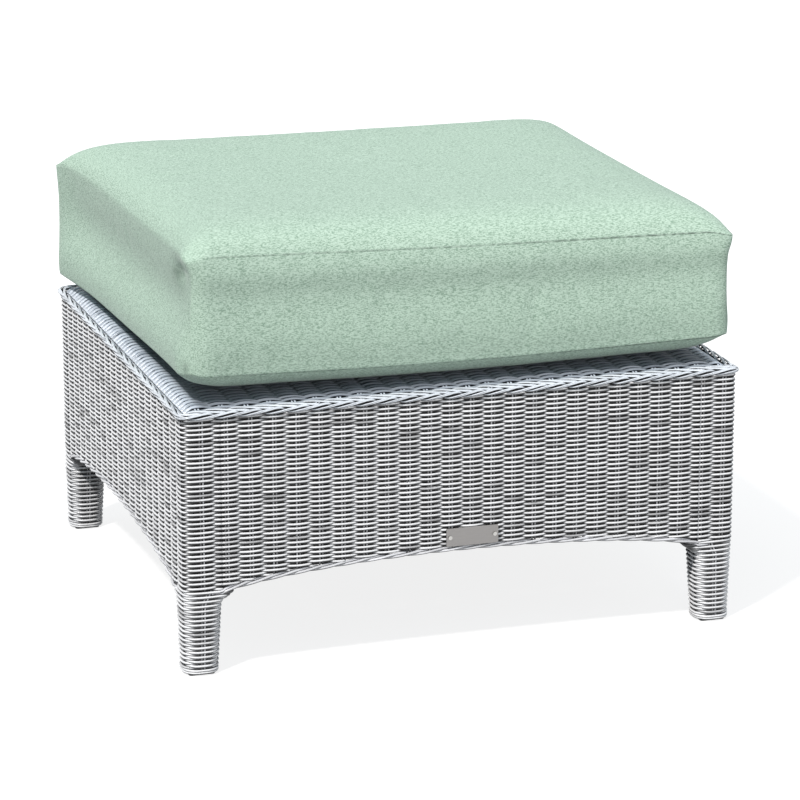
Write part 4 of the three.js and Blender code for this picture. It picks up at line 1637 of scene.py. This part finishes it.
    @staticmethod
    def round_corners(
        x: np.ndarray, y: np.ndarray, half_x: float, half_y: float, radius: np.ndarray
    ) -> tuple[np.ndarray, np.ndarray]:
        """Moves the corners of a rectangle, and all that lies inside them, onto quarter circles.

        Args:
            x: Places to the right.
            y: Places to the rear.
            half_x: Half the width of the rectangle.
            half_y: Half its depth.
            radius: Radius of its corners.

        Returns:
            The moved places to the right and to the rear.
        """
        over_x = np.maximum(np.abs(x) - half_x + radius, 0.0)
        over_y = np.maximum(np.abs(y) - half_y + radius, 0.0)
        length = np.maximum(np.hypot(over_x, over_y), 1e-6)
        share = np.where((over_x > 0) & (over_y > 0), np.maximum(over_x, over_y) / length, 1.0)
        inner_x, inner_y = np.minimum(np.abs(x), half_x - radius), np.minimum(np.abs(y), half_y - radius)
        return np.sign(x) * (inner_x + over_x * share), np.sign(y) * (inner_y + over_y * share)

    def outline(
        self, u: np.ndarray, v: np.ndarray, share: np.ndarray, inset: float
    ) -> tuple[np.ndarray, np.ndarray]:
        """Returns the plan places of the cushion, with its drawn-in sides, swells, tucks and ears.

        Args:
            u: Places on the cube to the right.
            v: Places on the cube to the rear.
            share: Share of the height of the boxing.
            inset: How far inside the cover.

        Returns:
            The places to the right and to the rear.
        """
        front_left = (1.0 - u) / 2.0 * (1.0 - v) / 2.0
        half_x, half_y = self.half_width, self.half_depth
        radius = self.outline_radius(share, front_left)
        x, y = self.round_corners(u * half_x, v * half_y, half_x, half_y, radius)
        edge = np.maximum(np.abs(u), np.abs(v)) ** 6
        tuck = self.corner_tuck(u, v, share, front_left)
        swell_x = self.swells(share, self.side_swells) * edge * (1.0 - np.abs(v) ** 9) - tuck
        swell_y = self.swells(share, self.front_swells) * edge * (1.0 - 0.5 * np.abs(u) ** 5) - 0.4 * tuck
        draw_x = self.draw_x * (1.0 - np.abs(v) ** self.draw_exponent)
        draw_y = self.draw_y * (1.0 - np.abs(u) ** self.draw_exponent)
        rear_left = self.ear_reach * self.near_corner(-u, v, 8)
        front_right = self.right_ear * self.near_corner(u, -v, 10) * smooth_share(share, 0.80, 0.97)
        x = x - u * (inset + draw_x - swell_x) - rear_left + front_right
        y = y - v * (inset + draw_y - swell_y) + rear_left
        return x, y

    def heights(
        self, u: np.ndarray, v: np.ndarray, w: np.ndarray, share: np.ndarray, inset: float
    ) -> np.ndarray:
        """Returns the heights of the crowned top, the boxing and the sagging bottom.

        Args:
            u: Places on the cube to the right.
            v: Places on the cube to the rear.
            w: Places on the cube upwards.
            share: Share of the height of the boxing.
            inset: How far inside the cover.

        Returns:
            The heights.
        """
        swell = (1.0 - np.abs(u) ** self.crown_exponent) * (1.0 - np.abs(v) ** self.crown_exponent)
        belly = (1.0 - np.abs(u) ** self.belly_exponent) * (1.0 - np.abs(v) ** self.belly_exponent)
        droop = self.ear_droop * smooth_share(np.abs(u), 0.90, 1.0) * smooth_share(np.abs(v), 0.90, 1.0)
        top_edge = self.top_seam + self.corner_lift(u, v, self.top_lifts) - droop
        low_edge = self.lower_seam + self.corner_lift(u, v, self.lower_lifts) + 0.3 * droop
        near_fold = np.maximum(np.maximum(-u, 0.0) ** 8, np.maximum(-v, 0.0) ** 8)
        steepness = self.crown_edge + self.fold_sharpness * near_fold
        top = top_edge + self.crown * np.power(np.maximum(swell, 0.0), steepness) - inset
        low = np.maximum(low_edge - self.belly * belly, self.rest) + inset
        side = low_edge + (top_edge - low_edge) * share
        return np.where(w > ON_PANEL, top, np.where(w < -ON_PANEL, low, side))

    def shape(self, places: np.ndarray, inset: float = 0.0) -> np.ndarray:
        """Moves the places of a cube that goes from -1 to 1 onto the cushion.

        Args:
            places: One row for each vertex of the cube.
            inset: How far inside the cover, in millimetres.

        Returns:
            One row of x, y and z in millimetres for each vertex.
        """
        u, v, w = places.T
        share = (w + 1.0) / 2.0
        x, y = self.outline(u, v, share, inset)
        return np.column_stack([x, y, self.heights(u, v, w, share, inset)])

    @staticmethod
    def cut_block(cells: Cells) -> tuple[bmesh.types.BMesh, np.ndarray]:
        """Cuts a cube from -1 to 1 into even cells.

        Args:
            cells: How many cells along X, Y and Z.

        Returns:
            The bmesh, and one row for the place of each vertex.
        """
        block = bmesh.new()
        bmesh.ops.create_cube(block, size=2.0)
        for axis, count in enumerate(cells):
            edges = [e for e in block.edges if abs(e.verts[0].co[axis] - e.verts[1].co[axis]) > 1e-6]
            bmesh.ops.subdivide_edges(block, edges=edges, cuts=count - 1, use_grid_fill=True)
        return block, np.array([vert.co[:] for vert in block.verts])

    @staticmethod
    def to_piece(name: str, block: bmesh.types.BMesh, shaped: np.ndarray) -> bpy.types.Object:
        """Makes a block the mesh of a piece, with its faces out.

        Args:
            name: Name of the piece.
            block: The block, which is freed.
            shaped: Where its vertices go, in millimetres.

        Returns:
            The piece.
        """
        for vert, spot in zip(block.verts, shaped):
            vert.co = Vector(spot) * MM
        bmesh.ops.recalc_face_normals(block, faces=block.faces)
        mesh = bpy.data.meshes.new(name)
        block.to_mesh(mesh)
        block.free()
        return put_in_scene(name, mesh)

    def build_cover(self) -> bpy.types.Object:
        """Shapes the cover, puffs it up by simulation and marks its seams and the painted shade of its
        folds.

        Returns:
            The piece.
        """
        block, places = self.cut_block(self.cover_cells)
        crease = block.edges.layers.float.new("crease_edge")
        seam_layer = block.verts.layers.float.new("seam")
        fold_layer = block.verts.layers.float.new("fold")
        for edge in block.edges:
            first, second = (vert.co for vert in edge.verts)
            on_seam = abs(first.z) > ON_PANEL and abs(first.z - second.z) < 1e-6
            if on_seam and all(max(abs(co.x), abs(co.y)) > ON_PANEL for co in (first, second)):
                edge[crease] = self.seam_crease
        for vert, gap, fold in zip(block.verts, self.seam_distance(places), self.folds(places)):
            vert[seam_layer] = float(gap) * MM
            vert[fold_layer] = float(fold)
        piece = self.to_piece("cushion_cover", block, self.shape(places))
        self.puff(piece)
        self._settle(piece)
        finer = piece.modifiers.new("rounding", "SUBSURF")
        finer.levels = finer.render_levels = 1
        self._apply_all(piece)
        shade_smooth(piece.data)
        return piece

    def folds(self, places: np.ndarray) -> np.ndarray:
        """Returns how much painted shade each vertex takes in a fold of the cloth, from 0 to 1.

        Args:
            places: One row for the cube place of each vertex.

        Returns:
            The depths.
        """
        u, v, w = places.T
        share = (w + 1.0) / 2.0
        on_left = np.exp(-(((u + 1.0) / self.left_fold_reach) ** 2))
        left = on_left * np.maximum.reduce([fold.weight(v, share) for fold in self.left_folds])
        on_right = np.exp(-(((1.0 - u) / self.right_fold_reach) ** 2)) * (v < -0.9) * (np.abs(w) < ON_PANEL)
        level = smooth_share(share, 0.0, 0.2) * (1.0 - smooth_share(share, 0.75, 0.95))
        return np.maximum(left, self.right_fold * on_right * level)

    def seam_distance(self, places: np.ndarray) -> np.ndarray:
        """Returns how far each vertex lies from the nearer of the two seams.

        Args:
            places: One row for the cube place of each vertex.

        Returns:
            The distances.
        """
        u, v, w = places.T
        to_side = np.minimum((1.0 - np.abs(u)) * self.half_width, (1.0 - np.abs(v)) * self.half_depth)
        to_panel = (1.0 - np.abs(w)) * self.half_boxing
        return np.where(np.abs(w) > ON_PANEL, to_side, to_panel)

    def puff(self, piece: bpy.types.Object) -> None:
        """Swells the cover with air pressure and keeps the fine wrinkles that this leaves.

        Args:
            piece: The cover.
        """
        before = self._points(piece.data)
        scene = bpy.context.scene
        cloth = piece.modifiers.new("puff", "CLOTH")
        settings = cloth.settings
        settings.quality = 6
        settings.mass = 0.25
        settings.tension_stiffness = settings.compression_stiffness = 18.0
        settings.shear_stiffness = 6.0
        settings.bending_stiffness = 0.6
        settings.use_pressure = True
        settings.uniform_pressure_force = 4.0
        settings.shrink_min = -0.02
        settings.effector_weights.gravity = 0.0
        cloth.point_cache.frame_start = 1
        cloth.point_cache.frame_end = self.puff_frames
        for number in range(1, self.puff_frames + 1):
            scene.frame_set(number)
        depsgraph = bpy.context.evaluated_depsgraph_get()
        after = self._points(piece.evaluated_get(depsgraph).data)
        piece.modifiers.remove(cloth)
        scene.frame_set(1)
        moved = after - before
        wrinkles = self.wrinkle_share * (moved - self._smoothed(piece.data, moved, 60))
        length = np.linalg.norm(wrinkles, axis=1, keepdims=True)
        cap = self.wrinkle_cap * MM
        wrinkles *= cap * np.tanh(length / cap) / np.maximum(length, 1e-9)
        log.info("cover moved %.1f mm, wrinkles %.2f mm", np.abs(moved).max() / MM, length.max() / MM)
        self._set_points(piece.data, before + wrinkles)

    @staticmethod
    def _smoothed(mesh: bpy.types.Mesh, values: np.ndarray, rounds: int) -> np.ndarray:
        """Returns values at the vertices, averaged with their neighbours many times over.

        Args:
            mesh: The mesh.
            values: One row for each vertex.
            rounds: How many times.

        Returns:
            The averaged values.
        """
        pairs = np.zeros(len(mesh.edges) * 2, np.int32)
        mesh.edges.foreach_get("vertices", pairs)
        first, second = pairs.reshape(-1, 2).T
        count = np.bincount(pairs, minlength=len(values)).astype(float)[:, None]
        smooth = values.copy()
        for _ in range(rounds):
            total = np.zeros_like(smooth)
            for axis in range(3):
                total[:, axis] = np.bincount(first, smooth[second, axis], len(values))
                total[:, axis] += np.bincount(second, smooth[first, axis], len(values))
            smooth = 0.5 * smooth + 0.5 * total / count
        return smooth

    def _settle(self, piece: bpy.types.Object) -> None:
        """Keeps the cover above the deck and behind the zip.

        Args:
            piece: The cover.
        """
        points = self._points(piece.data) / MM
        points[:, 2] = np.maximum(points[:, 2], self.rest)
        across = 1.0 - smooth_share(np.abs(points[:, 0]), *self.zip_reach)
        level = 1.0 - smooth_share(np.abs(points[:, 2] - self.zip_level), *self.zip_run)
        at_zip = across * level * (points[:, 1] > 200.0)
        points[:, 1] += (np.minimum(points[:, 1], self.zip_face) - points[:, 1]) * at_zip
        self._set_points(piece.data, points * MM)

    @staticmethod
    def _points(mesh: bpy.types.Mesh) -> np.ndarray:
        """Returns the places of a mesh's vertices.

        Args:
            mesh: The mesh.

        Returns:
            One row for each vertex.
        """
        places = np.zeros(len(mesh.vertices) * 3, np.float32)
        mesh.vertices.foreach_get("co", places)
        return places.reshape(-1, 3).astype(float)

    @staticmethod
    def _set_points(mesh: bpy.types.Mesh, places: np.ndarray) -> None:
        """Moves a mesh's vertices."""
        mesh.vertices.foreach_set("co", places.astype(np.float32).ravel())
        mesh.update()

    @staticmethod
    def _apply_all(piece: bpy.types.Object) -> None:
        """Applies every modifier of a piece.

        Args:
            piece: The piece.
        """
        depsgraph = bpy.context.evaluated_depsgraph_get()
        made = bpy.data.meshes.new_from_object(piece.evaluated_get(depsgraph))
        old = piece.data
        piece.modifiers.clear()
        piece.data = made
        bpy.data.meshes.remove(old)

    def _inner_outline(self, places: np.ndarray) -> np.ndarray:
        """Returns the shape of the cushion's middle level, clear of the cover, at places in plan."""
        return self.shape(places * np.array([1.0, 1.0, 0.0]), inset=self.foam_inset)

    def build_foam(self) -> bpy.types.Object:
        """Cuts the foam core, square at its edges and clear of the cover.

        Returns:
            The piece.
        """
        block, places = self.cut_block(self.foam_cells)
        shaped = self._inner_outline(places)
        shaped[:, 2] = np.interp(places[:, 2], (-1.0, 1.0), self.foam_levels)
        return self.to_piece("cushion_foam_block", block, shaped)

    def build_wadding(self, name: str, upper: bool) -> bpy.types.Object:
        """Makes a fibre layer above or below the foam, inside the cover.

        Args:
            name: Name of the piece.
            upper: Whether it lies above the foam.

        Returns:
            The piece.
        """
        block, places = self.cut_block(self.wadding_cells)
        shaped = self.shape(places, inset=self.wadding_inset)
        shaped[:, :2] = self._inner_outline(places)[:, :2]
        below, above = self.wadding_levels
        low, high = (above, math.inf) if upper else (0.0, below)
        shaped[:, 2] = np.clip(shaped[:, 2], low, high)
        piece = self.to_piece(name, block, shaped)
        shade_smooth(piece.data)
        return piece


# Setting


@dataclass(frozen=True)
class Studio:
    """Pale floor, soft lamps and the camera at the photograph's place."""

    azimuth: float = -17.437
    elevation: float = 15.529
    distance: float = 4.188
    lens: float = 167.5
    aim_height: float = 0.220
    shift_right: float = 0.0172
    shift_up: float = -0.0195
    world_level: float = 0.46
    key_strength: float = 2.8
    key_width: float = 0.07
    key_place: tuple[float, float, float] = (-1.45, -1.15, 2.80)
    front_power: float = 18.0
    front_place: tuple[float, float, float] = (0.3, -3.4, 0.6)
    front_size: float = 1.0
    lamp_aim: tuple[float, float, float] = (0.0, 0.0, 0.25)
    lamp_colour: tuple[float, float, float] = (1.0, 0.975, 0.945)
    sky_colour: Colour = (0.80, 0.905, 1.0, 1.0)
    floor_grey: Colour = (0.27, 0.27, 0.27, 1.0)
    floor_half: float = 6.0
    glow_run: tuple[float, float] = (0.4, 1.2)
    glow_near: float = 0.84

    def _frame_axes(self) -> tuple[Vector, Vector, Vector]:
        """Works out the view.

        Returns:
            The directions back to the camera, right and up.
        """
        turn, tilt = math.radians(self.azimuth), math.radians(self.elevation)
        back = Vector((math.sin(turn) * math.cos(tilt), -math.cos(turn) * math.cos(tilt), math.sin(tilt)))
        right = Vector((math.cos(turn), math.sin(turn), 0.0))
        return back, right, back.cross(right)

    def set_camera(self) -> None:
        """Adds the camera and looks through it."""
        back, right, up = self._frame_axes()
        camera = bpy.data.cameras.new("studio_camera")
        camera.lens = self.lens
        camera.sensor_width = 36.0
        holder = bpy.data.objects.new("studio_camera", camera)
        bpy.context.scene.collection.objects.link(holder)
        aim = Vector((0.0, 0.0, self.aim_height))
        holder.location = aim + back * self.distance
        target = aim + right * self.shift_right + up * self.shift_up
        holder.rotation_euler = (target - holder.location).to_track_quat("-Z", "Y").to_euler()
        bpy.context.scene.camera = holder

    def add_lamp(self, name: str, kind: Lamp, place: Sequence[float], power: float, size: float) -> None:
        """Adds a lamp that looks at the object.

        Args:
            name: Name of the lamp.
            kind: Whether it is far away like the sun or a square panel.
            place: Where it stands, or for a sun the direction that it comes from.
            power: Its strength.
            size: Its angle in radians for a sun, its width in metres for a panel.
        """
        light = bpy.data.lights.new(name, kind.value)
        light.energy = power
        if kind is Lamp.SUN:
            light.angle = size
        else:
            light.size = size
        light.color = self.lamp_colour
        holder = bpy.data.objects.new(name, light)
        bpy.context.scene.collection.objects.link(holder)
        holder.location = place
        holder.rotation_euler = (Vector(self.lamp_aim) - Vector(place)).to_track_quat("-Z", "Y").to_euler()

    def _white_to_camera(self, sketch: ShaderSketch) -> bpy.types.NodeSocket:
        """Returns 1 for rays that see the background directly, in metal or through glass.

        Args:
            sketch: Sketch of the tree that asks.

        Returns:
            The socket.
        """
        path = sketch.node("ShaderNodeLightPath")
        seen = sketch.maths("MAXIMUM", path.outputs["Is Camera Ray"], path.outputs["Is Glossy Ray"])
        return sketch.maths("MAXIMUM", seen, path.outputs["Is Transmission Ray"])

    def set_world(self) -> None:
        """Lights the scene evenly from all round, and shows white behind it."""
        world = bpy.data.worlds.new("studio_world")
        bpy.context.scene.world = world
        world.use_nodes = True
        sketch = ShaderSketch(world.node_tree)
        world.node_tree.nodes.clear()
        light = sketch.node("ShaderNodeBackground")
        light.inputs["Color"].default_value = self.sky_colour
        light.inputs["Strength"].default_value = self.world_level
        white = sketch.node("ShaderNodeBackground")
        white.inputs["Color"].default_value = WHITE
        mixed = sketch.node("ShaderNodeMixShader")
        sketch.join(self._white_to_camera(sketch), mixed.inputs["Fac"])
        sketch.join(light.outputs[0], mixed.inputs[1])
        sketch.join(white.outputs[0], mixed.inputs[2])
        sketch.join(mixed.outputs[0], sketch.node("ShaderNodeOutputWorld").inputs["Surface"])

    def lay_floor(self) -> None:
        """Lays a white floor that keeps the object's shadow and can be seen through from below."""
        sheet = bmesh.new()
        bmesh.ops.create_grid(sheet, x_segments=1, y_segments=1, size=self.floor_half)
        mesh = bpy.data.meshes.new("studio_floor")
        sheet.to_mesh(mesh)
        sheet.free()
        floor = put_in_scene("studio_floor", mesh)
        material = bpy.data.materials.new("studio_floor")
        material.use_nodes = True
        sketch = ShaderSketch(material.node_tree)
        material.node_tree.nodes.clear()
        matt = sketch.node("ShaderNodeBsdfDiffuse")
        matt.inputs["Color"].default_value = self.floor_grey
        glow = sketch.node("ShaderNodeEmission")
        place = sketch.node("ShaderNodeVectorMath", operation="LENGTH")
        sketch.join(sketch.node("ShaderNodeTexCoord").outputs["Object"], place.inputs[0])
        level = sketch.spread(place.outputs["Value"], *self.glow_run, self.glow_near, 1.0)
        sketch.join(sketch.times(self._white_to_camera(sketch), level), glow.inputs["Strength"])
        both = sketch.node("ShaderNodeAddShader")
        sketch.join(matt.outputs[0], both.inputs[0])
        sketch.join(glow.outputs[0], both.inputs[1])
        seen = sketch.node("ShaderNodeMixShader")
        sketch.join(sketch.node("ShaderNodeNewGeometry").outputs["Backfacing"], seen.inputs["Fac"])
        sketch.join(both.outputs[0], seen.inputs[1])
        sketch.join(sketch.node("ShaderNodeBsdfTransparent").outputs[0], seen.inputs[2])
        sketch.join(seen.outputs[0], sketch.node("ShaderNodeOutputMaterial").inputs["Surface"])
        mesh.materials.append(material)

    def build(self) -> None:
        """Sets the whole studio."""
        self.set_camera()
        self.set_world()
        self.lay_floor()
        self.add_lamp("key_lamp", Lamp.SUN, self.key_place, self.key_strength, self.key_width)
        self.add_lamp("front_lamp", Lamp.PANEL, self.front_place, self.front_power, self.front_size)
        bpy.context.scene.view_settings.view_transform = "Standard"


@dataclass
class Ottoman:
    """The whole object: dresses the carried-over nodes and adds the woven and soft pieces."""

    wicker: WickerBase = field(default_factory=WickerBase)
    cushion: BoxCushion = field(default_factory=BoxCushion)

    def __post_init__(self) -> None:
        """Makes the materials."""
        self.weave = WickerFinish("wicker_weave").make()
        self.braid = WickerFinish("wicker_braid", pale=(0.84, 0.84, 0.87, 1.0)).make()
        # The rim's colours are bluer than the walls', and the deck's bluer and darker: painted cool shade.
        self.rim = WickerFinish("wicker_rim", (0.83, 0.87, 0.93, 1.0), (0.12, 0.14, 0.17, 1.0)).make()
        deck_pale_painted_cool, deck_grey_painted_cool, shaded = (0.72, 0.785, 0.88, 1.0), (0.10, 0.13, 0.17, 1.0), (0.011, 0.015, 0.023, 1.0)
        self.deck = WickerFinish("wicker_deck", deck_pale_painted_cool, deck_grey_painted_cool, shaded).make()
        self.cloth = ClothFinish("cushion_canvas").make()
        fluffy, matted = (0.88, 0.88, 0.85, 1.0), (0.72, 0.72, 0.69, 1.0)
        self.wadding = ClothFinish("cushion_wadding", Grain.WADDING, fluffy, matted).make()
        plate = MetalFinish("plate_brushed", (0.31, 0.30, 0.295, 1.0), 0.9, 0.42, brushed=True)
        self.carried = {
            # Near black: a dark powder coat, and painted shade for the gaps of the weave that lie over the
            # frame.
            "leg_post_": MetalFinish("frame_coating", (0.045, 0.045, 0.047, 1.0), 0.3, 0.5).make(),
            "foot_glide_": MouldedFinish("glide_nylon", (0.022, 0.023, 0.025, 1.0)).make(),
            "nameplate": plate.make(),
            "plate_rivet_": MetalFinish("rivet_steel", (0.60, 0.59, 0.57, 1.0), 0.95, 0.3).make(),
            "foam_core": MouldedFinish("foam_cut", (0.80, 0.74, 0.46, 1.0), 0.95, 0.002).make(),
            "cushion_zip": MouldedFinish("zip_tape", (0.36, 0.49, 0.39, 1.0), 0.85, 0.0007).make(),
            "zip_": MetalFinish("zip_alloy", (0.52, 0.51, 0.49, 1.0), 0.95, 0.34).make(),
        }

    def dress_frame(self) -> None:
        """Gives each carried-over node its material."""
        tubes = ("leg_post_", "arch_rail_", "top_rail_", "deck_bar_")
        for name, node in frame["nodes"].items():
            key = "leg_post_" if name.startswith(tubes) else None
            key = key or next((start for start in self.carried if name.startswith(start)), None)
            if key is None:
                continue
            node.data.materials.clear()
            node.data.materials.append(self.carried[key])
            log.info("dressed %s", name)

    @staticmethod
    def add(
        piece: bpy.types.Object, material: bpy.types.Material, slot: str, body: str, *nodes: str
    ) -> None:
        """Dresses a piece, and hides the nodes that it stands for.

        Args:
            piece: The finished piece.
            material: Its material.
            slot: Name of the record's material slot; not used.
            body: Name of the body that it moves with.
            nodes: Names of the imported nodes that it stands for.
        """
        piece.data.materials.clear()
        piece.data.materials.append(material)
        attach(piece, body)
        if nodes:
            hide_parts(*nodes)
        log.info("made %s: %d faces", piece.name, len(piece.data.polygons))

    def build_base(self) -> None:
        """Weaves the base."""
        body = self.wicker.body
        for side, leg_name in zip(Side, ("front_right", "rear_right", "rear_left", "front_left")):
            name = side.name.lower()
            self.add(self.wicker.build_wall(side), self.weave, "wicker_weave", body, f"woven_wall_{name}")
            self.add(self.wicker.build_hem(side), self.braid, "wicker_braid", body, f"arch_hem_{name}")
            leg = self.wicker.build_leg(side, leg_name)
            self.add(leg, self.weave, "wicker_weave", body, f"woven_leg_{leg_name}")
        for piece in RimBraid(self.wicker).build():
            self.add(piece, self.rim, "wicker_braid", body, "rim_braid")
        for piece in WovenDeck(self.wicker).build():
            self.add(piece, self.deck, "wicker_weave", body, "woven_deck")

    def build_cushion(self) -> None:
        """Sews and fills the cushion."""
        body = self.cushion.body
        cover = self.cushion.build_cover()
        panels = ("cushion_top_panel", "cushion_boxing", "cushion_bottom_panel")
        self.add(cover, self.cloth, "cushion_fabric", body, *panels)
        foam = self.cushion.build_foam()
        self.add(foam, self.carried["foam_core"], "cushion_foam", body, "foam_core")
        for name, upper in (("fibre_layer_top", True), ("fibre_layer_bottom", False)):
            layer = self.cushion.build_wadding(name.replace("layer", "wadding"), upper)
            self.add(layer, self.wadding, "cushion_fibre", body, name)


def main() -> None:
    """Builds the object and its setting."""
    logging.basicConfig(level=logging.INFO, format="%(message)s")
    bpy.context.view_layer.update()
    for stray in [o for o in bpy.data.objects if o.name in ("Cube", "Light", "Camera")]:
        bpy.data.objects.remove(stray)
    ottoman = Ottoman()
    ottoman.dress_frame()
    ottoman.build_base()
    ottoman.build_cushion()
    Studio().build()


if __name__ == "__main__":
    main()
